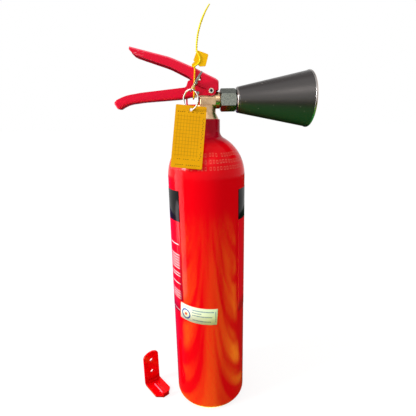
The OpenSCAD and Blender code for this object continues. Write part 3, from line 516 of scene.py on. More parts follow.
# --------------------------------------------------------------- burst plug
# A nickel-plated hexagon plug screwed into the boss at the back of the valve. It clamps a thin bursting
# disc over the gas way, and vents through the hole in its middle.
# Bright nickel on brass: warm white, smooth, with a little tarnish in patches
nickel = mottled("bright_nickel_plate", 260, 3, "#d8d2c6", "#b9b2a4", (0.14, 0.34), Metallic=1.0)
plug = piece_of("burst_disc_plug", rod(8.083, 17.1, 22.1, 6, along_y, bursting_port), nickel)
work(plug, "INTERSECT", turned([(0, 17.1), (8.1, 17.1), (8.1, 21.3), (7, 22.1), (0, 22.1)], 64,
                               along_y, bursting_port))
work(plug, "UNION", turned([(0, 13.1), (4.9, 13.1, 0.4), (4.9, 18), (0, 18)], 48, along_y, bursting_port))
work(plug, "DIFFERENCE", turned([(0, 10), (2, 10), (2, 21.4), (2.9, 22.3), (0, 22.3)], 40,
                                along_y, bursting_port))
break_edges(plug, 0.2)
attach(plug, "cylinder")
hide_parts("burst_plug")
finish_node("burst_disc", nickel)


# --------------------------------------------------------- carrying handle
# A channel pressed from 2 mm steel sheet, open upwards, with its end curled down. Its cheeks stand up as
# ears for the safety pin and are riveted to the valve's head.
def folded_channel(corners, width, is_web, fold, place):
    """A pressed sheet channel: side outline, outside width, which edge faces are its web, fold radius."""
    shape = plate_of(corners, -width / 2, width / 2)
    rim = [f for f in shape.faces if abs(f.normal.y) < 0.5]
    web = [f for f in rim if is_web(f.normal, f.calc_center_median() * 1000)]
    bmesh.ops.delete(shape, geom=[f for f in rim if f not in web], context="FACES")
    folds = [e for e in shape.edges if len(e.link_faces) == 2
             and abs(e.link_faces[0].normal.y - e.link_faces[1].normal.y) > 0.5]
    bmesh.ops.bevel(shape, geom=folds, offset=fold / 1000, segments=5, profile=0.5, affect="EDGES",
                    material=-1)
    bmesh.ops.translate(shape, verts=shape.verts, vec=mm(*place))
    return shape


def thicken(piece, sheet_t):
    """Gives a sheet its thickness, inwards."""
    wall = piece.modifiers.new("sheet thickness", "SOLIDIFY")
    wall.thickness, wall.offset, wall.use_even_offset = sheet_t / 1000, -1, True


# Polyester powder coat over steel: a slightly pink red, satin gloss with a fine orange peel about 1 mm
# wide; faintly scratched lengthways, and scuffed paler in one place near the lever's tip.
powder_red, add = new_finish("red_powder_coat")
place = add("TexCoord"), "Object"
peel = add("TexNoise", place, Scale=850, Detail=2)
shade = add("TexNoise", place, Scale=70, Detail=3)
long_way = add("Mapping", place, Scale=(0.25, 1, 1), Rotation=(0, 0.22, 0))
scratch = add("TexNoise", long_way, Scale=600, Detail=2, Roughness=0.6)
scratched = add("MapRange", scratch, From_Min=0.66, From_Max=0.78)
tip_at = add("VectorMath", place, (-0.083, -0.0125, 0.5155), operation="DISTANCE")
near_tip = add("MapRange", tip_at, From_Min=0.003, From_Max=0.009, To_Min=1, To_Max=0.0)
scuffs = add("MapRange", scratch, From_Min=0.5, From_Max=0.62)
scuffed = add("Math", near_tip, scuffs, operation="MULTIPLY")
worn = add("Math", scratched, 0.05, operation="MULTIPLY")
worn = add("Math", worn, scuffed, operation="MAXIMUM")
red = add("Mix", shade, "#f20a36", "#e80a30", data_type="RGBA")
red = add("Mix", worn, red, "#f0808c", data_type="RGBA")
dull = add("MapRange", shade, To_Min=0.3, To_Max=0.42)
peeled = add("Bump", Distance=0.000004, Height=peel)
skin = add("BsdfPrincipled", IOR=1.5, Specular_IOR_Level=0.11, Base_Color=red, Roughness=dull,
           Normal=peeled)
add("OutputMaterial", skin)

# Painted shade: the faces inside a fold, and those that look down, are given a dark, flat red for the shade
# that falls there
thin_red = mottled("red_powder_inside_painted_shade", 90, 3, "#b50a2a", "#980620", IOR=1.5, Roughness=0.5,
                   Specular_IOR_Level=0.1)
# Painted highlight: a pale, shinier red on the lever's top fold and on one shoulder of the bracket's rib,
# where the folds catch the light
rubbed_red = mottled("red_powder_fold_painted_highlight", 200, 2, "#ff7084", "#f43c56", IOR=1.5, Roughness=0.22,
                     Specular_IOR_Level=0.35)


def shade_inside(thing):
    """Gives the faces that look into a folded channel, and those that look down, the darker red of painted
    shade.
    """
    thing.data.materials.append(thin_red)
    for face in thing.data.polygons:
        if face.center.y * face.normal.y < -0.003 or face.normal.z < -0.75:
            face.material_index = 1


pin_at = (-12, 0, 477.5)
carrying = piece_of("pressed_carrying_handle", folded_channel(
    [(-121.4, -22.7, 4), (-109.4, -15.3, 30), (-87.1, -12.6, 60), (-38, -9.6, 30), (-22, -6.47),
     (-16, -5.3, 8), (6, -6, 5.9), (6, 6, 5.9), (-3.6, 6, 2), (-8, 13.3, 2.5), (-29.7, 13.3, 3),
     (-32.5, 4.9, 4), (-91.1, -1.1, 60), (-110.9, -4.3, 40), (-123.6, -9.9, 8), (-127, -12.9, 3)],
    20, lambda n, c: c.x < -22 and (n.z < -0.3 or (c.x < -119 and n.x < -0.5)), 3, pivot), powder_red)
thicken(carrying, 2)
work(carrying, "DIFFERENCE", rod(2.56, -20, 20, 40, along_y, pivot), rod(2.5, -20, 20, 40, along_y, pin_at),
     rod(1.66, -20, 20, 40, along_y, rivet_at))
break_edges(carrying, 0.35)
shade_inside(carrying)
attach(carrying, "cylinder")
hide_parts("carrying_handle")


# ---------------------------------------------------------- squeeze lever
# A second pressed channel, open downwards, that straddles the carrying handle and turns on the pivot
# rivet. Its nose presses the stem; a slot in its cheeks lets it swing past the safety pin's hole.
lever_corners = [(10, 1), (10, 12.5, 3), (6.2, 15.3, 3.2), (-11.3, 23.4, 12), (-18.3, 27.2, 30),
                 (-51.2, 41, 60), (-101, 53.5), (-101.8, 49.8, 2), (-97.6, 45.4, 3), (-93.6, 43.2, 3),
                 (-83, 39.5, 30), (-51.8, 29.2, 60), (-28, 17.3, 4), (-17.7, 6.7, 5), (-6, 2.6, 1.5),
                 (-6, -6, 5.9), (6, -6, 5.9), (6, 0.8, 0.5)]
squeeze = piece_of("pressed_squeeze_lever", folded_channel(
    lever_corners, 24.8, lambda n, c: n.z > 0.34 or (n.x > 0.7 and c.x > 9.5), 2.6, pivot), powder_red)
thicken(squeeze, 2)
slot_from, slot_to, slot_r = Vector((-20, 9)), Vector((-15.71, 15.3)), 3.33
slot_way = (slot_to - slot_from).normalized() * slot_r
slot_side = Vector((-slot_way.y, slot_way.x))
slot_corners = [slot_from - slot_way + slot_side, slot_from - slot_way - slot_side,
                slot_to + slot_way - slot_side, slot_to + slot_way + slot_side]
slot_tool = plate_of([(pivot[0] + p.x, pivot[2] + p.y, slot_r - 0.02) for p in slot_corners], -20, 20)
work(squeeze, "DIFFERENCE", rod(2.56, -20, 20, 40, along_y, pivot), slot_tool)
break_edges(squeeze, 0.35)
shade_inside(squeeze)
# Painted highlight: the pale red goes on the top fold of the front cheek
squeeze.data.materials.append(rubbed_red)  # on the top fold of the front cheek
for face in squeeze.data.polygons:
    if -0.97 < face.normal.y < -0.5 and face.normal.z > 0.1:
        face.material_index = 2
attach(squeeze, "lever")
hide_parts("squeeze_lever")


# ------------------------------------------------------------------ rivets
# A tubular rivet, flared at both ends, is the lever's pivot; a small solid rivet holds the carrying
# handle's cheeks to the head.
# Zinc plate on steel, clear passivated: blue-grey, slightly mottled
zinc, add = new_finish("zinc_plated_steel")
place = add("TexCoord"), "Object"
spangle = add("TexNoise", place, Scale=900, Detail=3, Roughness=0.65)
cloud = add("TexNoise", place, Scale=160, Detail=2)
speck = add("MapRange", spangle, From_Min=0.42, From_Max=0.66)
tint = add("Mix", speck, "#959990", "#6a7068", data_type="RGBA")
dull = add("MapRange", cloud, To_Min=0.16, To_Max=0.34)
pitted = add("Bump", Distance=0.00003, Height=spangle)
skin = add("BsdfPrincipled", Metallic=1.0, Base_Color=tint, Roughness=dull, Normal=pitted)
add("OutputMaterial", skin)

pivot_pin = piece_of("tubular_pivot_rivet", turned(
    [(1.6, -13.5, 0.35), (3.4, -13.5, 0.5), (3.4, -12.6, 0.2), (2.5, -12.6), (2.5, 12.6),
     (3.4, 12.6, 0.2), (3.4, 13.5, 0.5), (1.6, 13.5, 0.35)], 48, along_y, pivot), nickel)
# Painted shade: the bore is given the near-black rubber finish, standing for the dark inside the hole
pivot_pin.data.materials.append(nitrile)  # old grease blackens the bore
for face in pivot_pin.data.polygons:
    if (face.center - mm(*pivot)).xz.length < 0.00175:
        face.material_index = 1
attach(pivot_pin, "cylinder")
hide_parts("pivot_rivet")

cheek_rivet = piece_of("handle_fixing_rivet", turned(
    [(0, -11), (1.9, -11, 0.6), (2.4, -10, 0.15), (1.6, -10), (1.6, 10), (2.4, 10, 0.15),
     (1.9, 11, 0.6), (0, 11)], 36, along_y, rivet_at), zinc)
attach(cheek_rivet, "cylinder")
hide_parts("fixing_rivet")


# ------------------------------------------------------------- hanger loop
# A strip of the same red sheet bent into a stirrup under the carrying handle, welded to its web. It
# drops over the lip of the wall bracket.
hanger = piece_of("bent_hanger_loop", plate_of(
    [(-25.1, 450.1, 3.2), (-7.1, 450.1, 3.2), (-7.1, 461.9), (-9.3, 461.9), (-9.3, 452.3, 1),
     (-22.9, 452.3, 1), (-22.9, 460.19), (-25.1, 459.76)], -4.5, 4.5), powder_red)
break_edges(hanger, 0.4)
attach(hanger, "cylinder")
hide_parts("hanger_loop")


# ---------------------------------------------------- safety pin and rings
# A turned pin with a tapered end goes through the ears and the lever. A split ring passes through its
# cross hole, and a second split ring hangs from that one and carries the tag.
# Nickel-chrome plate on steel wire: bright and sharp, it picks up every colour round it
chrome = mottled("bright_plated_wire", 700, 3, "#a3a19d", "#6c6b66", (0.2, 0.36), Metallic=1.0)
pin = piece_of("turned_safety_pin", turned(
    [(0, -20.4), (2.2, -20.4, 0.8), (2.2, 11.2, 1.5), (1.1, 15.6, 0.9), (0, 15.6)], 40, along_y,
    pin_at), chrome)
work(pin, "DIFFERENCE", rod(1.4, -8, 8, 32, Matrix.Rotation(math.radians(33), 3, "Y"),
                            (pin_at[0], -17, pin_at[2])))
break_edges(pin, 0.2)
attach(pin, "pin")
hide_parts("safety_pin")


def split_ring(mean_d, wire, lay, centre):
    """A ring wound twice from flattened wire: one turn, a short cross-over, and a second turn beside it."""
    shape = bmesh.new()
    half = wire / 4 - 0.02
    draw_outline(shape, [(mean_d / 2 - 0.43 * wire, -half, 0.35), (mean_d / 2 + 0.43 * wire, -half, 0.35),
                         (mean_d / 2 + 0.43 * wire, half, 0.35), (mean_d / 2 - 0.43 * wire, half, 0.35)])
    bmesh.ops.translate(shape, verts=shape.verts, vec=mm(0, 0, -wire / 4))
    end = shape.verts[:] + shape.edges[:] + shape.faces[:]
    for turn, steps, rise in ((330, 66, 0), (30, 8, wire / 2), (330, 66, 0)):
        swept = bmesh.ops.spin(shape, geom=end, cent=(0, 0, 0), axis=(0, 0, 1), angle=math.radians(turn),
                               steps=steps, dvec=mm(0, 0, rise / steps))
        end = swept["geom_last"]
    bmesh.ops.recalc_face_normals(shape, faces=shape.faces)
    bmesh.ops.rotate(shape, verts=shape.verts, cent=(0, 0, 0), matrix=lay)
    bmesh.ops.translate(shape, verts=shape.verts, vec=mm(*centre))
    return shape


pull_lay = Matrix.Rotation(math.radians(-57), 3, "Y") @ Matrix.Rotation(math.radians(200), 3, "Z")
pull = piece_of("pull_split_ring", split_ring(26.4, 2.2, pull_lay, (pin_at[0], -30.2, pin_at[2])), chrome)
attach(pull, "pull_ring")
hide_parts("pull_ring")

key_at = (-19.19, -30.2, 456.73)
key_lay = (Matrix.Rotation(math.radians(-42), 3, "Z") @ Matrix.Rotation(math.radians(90), 3, "X")
           @ Matrix.Rotation(math.radians(40), 3, "Z"))
key = piece_of("key_split_ring", split_ring(24, 2, key_lay, key_at), chrome)
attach(key, "key_ring")
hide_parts("key_ring")


# --------------------------------------------------------------------- tag
# A stiff amber plastic card, punched with one hole and printed with a dark record grid. It hangs from
# the key ring and rests its lower edge on the shoulder.
tag_at = mm(key_at[0], key_at[1], 444.73)
tag_lay = Matrix.Rotation(math.radians(-18.5), 3, "X") @ Matrix.Rotation(math.radians(6.8), 3, "Y")
card = bmesh.new()
face = draw_outline(card, [(-19.5, -74.8, 1.6), (19.5, -74.8, 1.6), (19.5, 5.2, 1.6),
                           (-19.5, 5.2, 1.6)], -0.4)
bmesh.ops.delete(card, geom=[face], context="FACES_ONLY")
bmesh.ops.create_circle(card, segments=32, radius=0.0021,
                        matrix=Matrix.Translation(mm(0, -0.4, 0)) @ Matrix.Rotation(math.pi / 2, 4, "X"))
bmesh.ops.triangle_fill(card, edges=card.edges[:], use_beauty=True)
pushed = bmesh.ops.extrude_face_region(card, geom=card.faces[:])
bmesh.ops.translate(card, verts=parts_of(pushed["geom"], bmesh.types.BMVert), vec=mm(0, 0.8, 0))
bmesh.ops.recalc_face_normals(card, faces=card.faces)
bmesh.ops.rotate(card, verts=card.verts, cent=(0, 0, 0), matrix=tag_lay)
bmesh.ops.translate(card, verts=card.verts, vec=tag_at)

# Calendered rigid PVC: warm amber right through, satin, printed in a thin dark ink
amber, add = new_finish("calendered_amber_pvc")
place = add("TexCoord"), "Object"
on_card = add("Mapping", place, vector_type="TEXTURE", Location=tag_at, Rotation=tag_lay.to_euler())
axes = add("SeparateXYZ", on_card)
flat = add("CombineXYZ", (axes, "X"), (axes, "Z"))
# The grid: cells of 3.8 by 4.5 mm in a field of 30.6 by 54.2 mm; its lines are 0.44 mm wide, to show
grid = add("TexBrick", flat, offset=0.0, Scale=1, Mortar_Size=0.00022, Mortar_Smooth=0.1,
           Brick_Width=0.0038, Row_Height=0.0045)
grid_x = add("Math", (axes, "X"), -0.0019, 0.0153, operation="COMPARE")
grid_z = add("Math", (axes, "Z"), -0.0338, 0.0271, operation="COMPARE")
ink = add("Math", (grid, "Fac"), grid_x, operation="MULTIPLY")
ink = add("Math", ink, grid_z, operation="MULTIPLY")
# Rows of short strokes above and below the grid, and a column of them down its right side
strokes = add("TexBrick", flat, offset=0.5, Scale=1, Mortar_Size=0.00062, Mortar_Smooth=0.0, Bias=0.0,
              Brick_Width=0.0026, Row_Height=0.0024, Color1=(1, 1, 1, 1), Color2=(0, 0, 0, 1),
              Mortar=(0, 0, 0, 1))
strokes = add("Math", (strokes, "Color"), 0.25, operation="GREATER_THAN")
head_row, foot_row, last_row = (
    add("Math", (axes, "Z"), height, half, operation="COMPARE")
    for height, half in ((-0.0032, 0.0019), (-0.0644, 0.0011), (-0.0716, 0.0013)))
side_row = add("Math", (axes, "X"), 0.0164, 0.0011, operation="COMPARE")
side_row = add("Math", side_row, add("Math", (axes, "Z"), -0.034, 0.0275, operation="COMPARE"),
               operation="MULTIPLY")
middle = add("Math", (axes, "X"), 0.0, 0.0165, operation="COMPARE")
bands = head_row
for part, how in ((last_row, "MAXIMUM"), (foot_row, "MAXIMUM"), (middle, "MULTIPLY"), (side_row, "MAXIMUM"),
                  (strokes, "MULTIPLY")):
    bands = add("Math", bands, part, operation=how)
ink = add("Math", ink, 0.5, operation="MULTIPLY")
bands = add("Math", bands, 0.85, operation="MULTIPLY")
ink = add("Math", ink, bands, operation="MAXIMUM")
mottle = add("TexNoise", place, Scale=90, Detail=3)
stock = add("Mix", mottle, "#e8a806", "#dc9a03", data_type="RGBA")
stock = add("Mix", ink, stock, "#5d4208", data_type="RGBA")
dull = add("MapRange", mottle, To_Min=0.38, To_Max=0.52)
skin = add("BsdfPrincipled", IOR=1.53, Specular_IOR_Level=0.04, Base_Color=stock, Roughness=dull)
add("OutputMaterial", skin)

tag = piece_of("punched_record_tag", card, amber)
break_edges(tag, 0.15)
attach(tag, "tag")
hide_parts("inspection_tag")


# ------------------------------------------------------------- tamper seal
# One pull-tight moulding in soft yellow plastic: a beaded strand drawn round lever and handle, a flat
# flag that locks it, and the spare tail standing up, beaded below and smooth towards its point. A short
# smooth bow crosses the flag.
seal_top = Vector((-15.6, 0, 499.46))
seal_y = -13.6


def from_top(*corners):
    """Outline corners that are given from the top of the seal's loop."""
    return [(seal_top.x + x, seal_top.z + z, radius) for x, z, radius in corners]


def beaded_strand(name, points, sizes, closed=False):
    """A round strand through the points, each with its own diameter, made a mesh."""
    path = bpy.data.curves.new(name, "CURVE")
    path.dimensions, path.bevel_depth, path.bevel_resolution = "3D", 0.0005, 3
    path.use_fill_caps = True
    line = path.splines.new("POLY")
    line.points.add(len(points) - 1)
    line.use_cyclic_u = closed
    for knot, point, size in zip(line.points, points, sizes):
        knot.co = (*mm(*point), 1)
        knot.radius = size
    drawn = bpy.data.objects.new(name, path)
    bpy.context.scene.collection.objects.link(drawn)
    seen = bpy.context.evaluated_depsgraph_get()
    mesh = bpy.data.meshes.new_from_object(drawn.evaluated_get(seen))
    bpy.data.objects.remove(drawn)
    mesh.shade_smooth()
    strand = bpy.data.objects.new(name, mesh)
    bpy.context.scene.collection.objects.link(strand)
    return strand


# Moulded polypropylene: strong yellow, slightly waxy, paler where the flow lines run
poly_yellow = mottled("moulded_yellow_polypropylene", 160, 1, "#fff02a", "#ffd60a", Roughness=0.3, IOR=1.49,
                      Specular_IOR_Level=0.14)
# The flag and the strand hold more colour than the tail and the bow: a deeper amber
poly_amber = mottled("thick_yellow_polypropylene", 90, 1, "#ffc805", "#ffbb02", Roughness=0.34, IOR=1.49,
                     Specular_IOR_Level=0.08)

loop = bmesh.new()
face = draw_outline(loop, [(seal_y, 460.36, 2), (-seal_y, 460.36, 2), (-seal_y, seal_top.z, 2),
                           (seal_y, seal_top.z, 2)])
bmesh.ops.delete(loop, geom=[face], context="FACES_ONLY")
bmesh.ops.rotate(loop, verts=loop.verts, cent=(0, 0, 0), matrix=Matrix.Rotation(math.pi / 2, 3, "Z"))
corner = next(v for v in loop.verts)
around, came = [corner], None
while len(around) < len(loop.verts):
    step = next(e for e in around[-1].link_edges if e is not came and e.other_vert(around[-1]) not in around)
    around.append(step.other_vert(around[-1]))
    came = step
ring_points = []
for here, there in zip(around, around[1:] + around[:1]):
    pieces = max(1, round((there.co - here.co).length / 0.00085))
    ring_points += [here.co.lerp(there.co, i / pieces) * 1000 for i in range(pieces)]
loop.free()
ring_points = [(seal_top.x + 0.8 + 0.06 * (p.z - 460), p.y, p.z) for p in ring_points]
strand = beaded_strand("seal_strand", ring_points,
                       [2.2 if i % 2 else 1.5 for i in range(len(ring_points))], closed=True)
strand.data.materials.append(poly_amber)
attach(strand, "cylinder")

flag = piece_of("seal_flag", plate_of(
    from_top((9.5, -2, 1), (16.8, -1.6, 1.5), (20.8, 12, 1.8), (6.4, 17, 1.5), (1.4, 5.2, 1)),
    seal_y - 0.9, seal_y + 0.9), poly_amber)
work(flag, "UNION", plate_of(
    from_top((-0.8, -2.4, 0.4), (2, -2.4, 0.4), (8, 1, 0), (4, 5, 0), (-0.8, 0.6, 0.4)),
    seal_y - 0.85, seal_y + 0.85))
break_edges(flag, 0.45, 3)
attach(flag, "cylinder")
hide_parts("tamper_seal")

tail_points, tail_sizes = [], []
for i in range(64):
    angle = math.radians(180 - 36 * i / 63)
    tail_points.append((seal_top.x + 95.7 + 90 * math.cos(angle), seal_y,
                        seal_top.z + 15.4 + 90 * math.sin(angle)))
    tail_sizes.append((3.0 if i % 3 == 0 else 2.0) if i < 40 else 2.6 - 1.1 * (i - 40) / 23)
tail = beaded_strand("seal_tail", tail_points, tail_sizes)
tail.data.materials.append(poly_yellow)
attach(tail, "cylinder")

bow_points = [(seal_top.x + x, seal_y + y, seal_top.z + z) for x, y, z in
              ((5.8, -0.3, 17), (6.2, -0.9, 14.5), (8.0, -1.1, 12), (9.6, -1.1, 9), (9.9, -1.1, 6),
               (9.1, -1.1, 3), (7.2, -1.0, 1), (5, -0.9, -0.5), (3, -0.6, -1.6), (1, -0.2, -2.6))]
bow = beaded_strand("seal_bow", bow_points, [1.8, 1.9, 1.9, 1.9, 1.9, 1.9, 1.9, 1.9, 1.8, 1.6])
bow.data.materials.append(poly_yellow)
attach(bow, "cylinder")


# --------------------------------------------------- outlet, nut and swivel
# A threaded sleeve in the outlet boss carries a zinc-plated hexagon union nut, which holds the horn's
# flanged stub against a nylon washer so that the horn can be turned.
nut = piece_of("hexagon_union_nut", rod(15.01, 20.4, 41.4, 6, along_x, outlet), zinc)
work(nut, "INTERSECT", turned([(0, 20.4), (13, 20.4), (15.1, 21.8), (15.1, 40), (13, 41.4),
                               (0, 41.4)], 96, along_x, outlet))
work(nut, "DIFFERENCE", turned([(0, 19), (9, 19), (9, 33.4), (7.2, 33.4), (7.2, 43),
                                (0, 43)], 64, along_x, outlet))
break_edges(nut, 0.35, 3)
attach(nut, "cylinder")
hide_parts("coupling_nut")
finish_node("outlet_adapter", brass)
finish_node("swivel_stub", brass)

nozzle = piece_of("turned_discharge_nozzle", turned(
    [(1.75, 47, 0.5), (7.1, 47, 0.3), (7.1, 52.5, 0.8), (3.6, 58, 0.6), (1.75, 58, 0.4)], 56, along_x,
    outlet), brass)
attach(nozzle, "horn")
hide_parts("discharge_nozzle")


# -------------------------------------------------------------------- horn
# A moulded black cone, closed at its small end by a spun aluminium disc and edged at its mouth with a
# rolled aluminium rim that guards the plastic when the gas freezes it.
# Blow-moulded polyethylene: brown-black, matt, with fine pimples and a few pale specks of dust
horn_black, add = new_finish("moulded_black_polyethylene")
place = add("TexCoord"), "Object"
pimples = add("TexNoise", place, Scale=1100, Detail=2)
cloud = add("TexNoise", place, Scale=45, Detail=3)
speck = add("TexVoronoi", place, Scale=170, Randomness=1.0)
specks = add("Math", (speck, "Distance"), 0.07, operation="LESS_THAN")
some = add("Math", (speck, "Color"), 0.72, operation="GREATER_THAN")
specks = add("Math", specks, some, operation="MULTIPLY")
tint = add("Mix", cloud, "#271f1e", "#1e1817", data_type="RGBA")
tint = add("Mix", specks, tint, "#b0a898", data_type="RGBA")
dull = add("MapRange", cloud, To_Min=0.3, To_Max=0.42)
pimpled = add("Bump", Distance=0.00004, Height=pimples)
skin = add("BsdfPrincipled", IOR=1.5, Specular_IOR_Level=0.85, Base_Color=tint, Roughness=dull,
           Normal=pimpled)
add("OutputMaterial", skin)

cone = piece_of("moulded_horn", turned([(14.5, 45, 0.3), (17, 45, 0.8), (36.5, 138, 0.3), (34, 138, 0.3)],
                                       128, along_x, outlet), horn_black)
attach(cone, "horn")
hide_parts("horn_cone")

# Spun aluminium: rings from the spinning tool, about 0.4 mm apart, under a soft grey gloss
spun, add = new_finish("spun_aluminium")
place = add("TexCoord"), "Object"
centred = add("Mapping", place, vector_type="TEXTURE", Location=mm(*outlet))
axes = add("SeparateXYZ", centred)
across = add("CombineXYZ", (axes, "Y"), (axes, "Z"))
radius = add("VectorMath", across, operation="LENGTH")
rings_at = add("CombineXYZ", radius, (axes, "X"))
rings = add("TexNoise", rings_at, Scale=2500, Detail=2)
dull = add("MapRange", rings, To_Min=0.18, To_Max=0.36)
grooved = add("Bump", Distance=0.00003, Height=rings)
# Painted shade: the disc behind the nut is darkened near black out to about 15.5 mm from the axis, for the
# nut's shade and its dark reflection
dirt = add("MapRange", radius, From_Min=0.0150, From_Max=0.0160, To_Min=1, To_Max=0.0)
tint = add("Mix", rings, "#a6a2a0", "#989492", data_type="RGBA")
# The small disc is painted darker all over, a painted shade, and the lip of the rim is tinted tan
inner = add("Math", (axes, "X"), 0.06, operation="LESS_THAN")
tint = add("Mix", inner, tint, "#7d7875", data_type="RGBA")
tint = add("Mix", dirt, tint, "#2c2a29", data_type="RGBA")
lip = add("Math", (axes, "X"), 0.1401, operation="GREATER_THAN")
tint = add("Mix", lip, tint, "#c9a58c", data_type="RGBA")
skin = add("BsdfPrincipled", Metallic=1.0, Base_Color=tint, Roughness=dull, Normal=grooved)
add("OutputMaterial", skin)

collar = piece_of("spun_horn_collar", turned(
    [(7.16, 42, 0.2), (15.4, 42, 0.5), (17, 43.6, 0.8), (17, 44.94, 0.7), (7.16, 44.94, 0.2)], 96, along_x,
    outlet), spun)
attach(collar, "horn")
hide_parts("horn_collar")

rim = piece_of("rolled_horn_rim", turned(
    [(34, 138.06, 0.3), (37.3, 138.06, 1.1), (37.3, 141, 1.4), (34, 141, 1.3)], 128, along_x, outlet), spun)
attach(rim, "horn")
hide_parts("horn_rim")


# ------------------------------------------------------------ wall bracket
# A loose bracket of 3 mm steel: a plate with a crowned top and two screw holes, bent forward into a
# tongue with a pressed rib, and turned up at its narrow end as a lip for the hanger loop.
bent = bmesh.new()
draw_outline(bent, [(-13.6, 5), (13.6, 5), (13.6, 54.5, 6), (4.5, 59, 9), (-4.5, 59, 9), (-13.6, 54.5, 6)])
edge = [next(e for e in bent.edges if max(v.co.z for v in e.verts) < 0.0051)]


def bend_on(edge, centre, steps):
    """Bends the sheet on from an edge by a quarter turn."""
    swept = bmesh.ops.spin(bent, geom=edge + list(edge[0].verts), cent=mm(*centre), axis=(-1, 0, 0),
                           angle=math.pi / 2, steps=steps)
    return parts_of(swept["geom_last"], bmesh.types.BMEdge)


def run_on(edge, way, half_width=None):
    """Carries the sheet on from an edge, straight, to a new half width."""
    pulled = bmesh.ops.extrude_edge_only(bent, edges=edge)
    verts = parts_of(pulled["geom"], bmesh.types.BMVert)
    bmesh.ops.translate(bent, verts=verts, vec=mm(*way))
    if half_width:
        bmesh.ops.scale(bent, verts=verts, vec=(half_width / 1000 / abs(verts[0].co.x), 1, 1))
    return [e for e in parts_of(pulled["geom"], bmesh.types.BMEdge) if all(v in verts for v in e.verts)]


edge = bend_on(edge, (0, -5, 5), 8)
edge = run_on(edge, (0, -29.65, 0))
edge = run_on(edge, (0, -7.85, 0), 5.25)
edge = bend_on(edge, (0, -42.5, 2.5), 6)
edge = run_on(edge, (0, 0, 6.5))
bmesh.ops.recalc_face_normals(bent, faces=bent.faces)
plate = max(bent.faces, key=lambda f: f.calc_area())
if plate.normal.y < 0:
    bmesh.ops.reverse_faces(bent, faces=bent.faces)

# The bracket had a thicker coat: pure red and wet-looking, so that its folds catch white lights
gloss_red, add = new_finish("glossy_red_powder_coat")
place = add("TexCoord"), "Object"
flow = add("TexNoise", place, Scale=70, Detail=1)
tint = add("Mix", flow, "#ff010a", "#ee0108", data_type="RGBA")
# Painted shade: where the folds shade each other an occlusion mask darkens the red
open_to_light = add("AmbientOcclusion", Distance=0.025, samples=8)
corners = add("MapRange", (open_to_light, "AO"), From_Min=0.45, From_Max=0.95, To_Min=1, To_Max=0.0)
tint = add("Mix", corners, tint, "#b00006", data_type="RGBA")
flowed = add("Bump", Distance=0.00004, Height=flow)
skin = add("BsdfPrincipled", IOR=1.5, Roughness=0.08, Specular_IOR_Level=0.1, Base_Color=tint,
           Normal=flowed)
add("OutputMaterial", skin)

bracket = piece_of("bent_wall_bracket", bent, gloss_red)
thicken(bracket, 3)
work(bracket, "DIFFERENCE", rod(3, -9, 9, 40, along_y, (0, 0, 22)), rod(3, -9, 9, 40, along_y, (0, 0, 44)))
work(bracket, "UNION", turned([(0, -39), (5, -39, 4.9), (5, -8, 4.9), (0, -8)], 48, along_y, (0, 0, -0.8)))
work(bracket, "INTERSECT", plate_of([(-20, 0), (20, 0), (20, 70), (-20, 70)], -60, 10))
# Painted highlight: one shoulder of the rib gets the pale red, as a line of light along it
bracket.data.materials.append(rubbed_red)
for face in bracket.data.polygons:
    if face.center.z > 0.0031 and -0.0028 < face.center.x < -0.0012 and -0.0388 < face.center.y < -0.012:
        face.material_index = 1
bracket.data.transform(Matrix.Translation(mm(-100.4, 13.4, 0)) @ Matrix.Rotation(math.radians(37), 4, "Z"))
break_edges(bracket, 0.8, 3)
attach(bracket, "bracket")
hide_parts("wall_bracket")


# ------------------------------------------------------------------ studio
# A wide pale floor in a white room. A soft key lamp stands at the left, a strip draws the long highlight
# down the cylinder, and a window light hangs in front. The cards only show in glossy surfaces.
floor_mesh = bmesh.new()
bmesh.ops.create_grid(floor_mesh, x_segments=1, y_segments=1, size=30)
bmesh.ops.translate(floor_mesh, verts=floor_mesh.verts, vec=(0, 0, -0.0002))
pale, add = new_finish("pale_studio_floor")
light = add("LightPath")
seen = add("Math", (light, "Is Camera Ray"), (light, "Is Glossy Ray"), operation="MAXIMUM")
seen = add("Math", seen, (light, "Is Transmission Ray"), operation="MAXIMUM")
white = add("Math", seen, 0.84, operation="MULTIPLY")
skin = add("BsdfPrincipled", Base_Color="#737372", Roughness=0.9, Specular_IOR_Level=0.0,
           Emission_Color=(1, 1, 1, 1), Emission_Strength=white)
add("OutputMaterial", skin)
floor = piece_of("studio_floor", floor_mesh, pale)

room = bpy.data.worlds.new("white_room")
room.use_nodes = True
room.node_tree.nodes["Background"].inputs["Color"].default_value = (1, 1, 1, 1)
room.node_tree.nodes["Background"].inputs["Strength"].default_value = 1.0
bpy.context.scene.world = room


def lamp(name, at, size, height, power, colour="#ffffff", aim=(0, 0, 250)):
    """A soft rectangular lamp that faces the object."""
    light = bpy.data.lights.new(name, "AREA")
    light.shape, light.size, light.size_y = "RECTANGLE", size, height
    light.energy, light.color = power, paint(colour)[:3]
    holder = bpy.data.objects.new(name, light)
    holder.location = mm(*at)
    holder.rotation_euler = (mm(*aim) - mm(*at)).to_track_quat("-Z", "Y").to_euler()
    bpy.context.scene.collection.objects.link(holder)


lamp("key", (-1900, -600, 1000), 0.5, 0.5, 40)
lamp("strip", (-350, -20, 230), 0.2, 0.5, 1.7, "#fff0f4", (0, 0, 230))
lamp("window", (200, -1250, 1350), 0.7, 0.5, 3.0, "#fff4f0", (90, 0, 457))
for name in ("strip", "window"):
    bpy.data.objects[name].visible_diffuse = False


def mirrored_card(name, shape, finish):
    """A card that only shows in glossy surfaces: it neither lights, shades nor hides anything."""
    card = piece_of(name, shape, finish)
    card.visible_camera = card.visible_diffuse = card.visible_shadow = card.visible_transmission = False


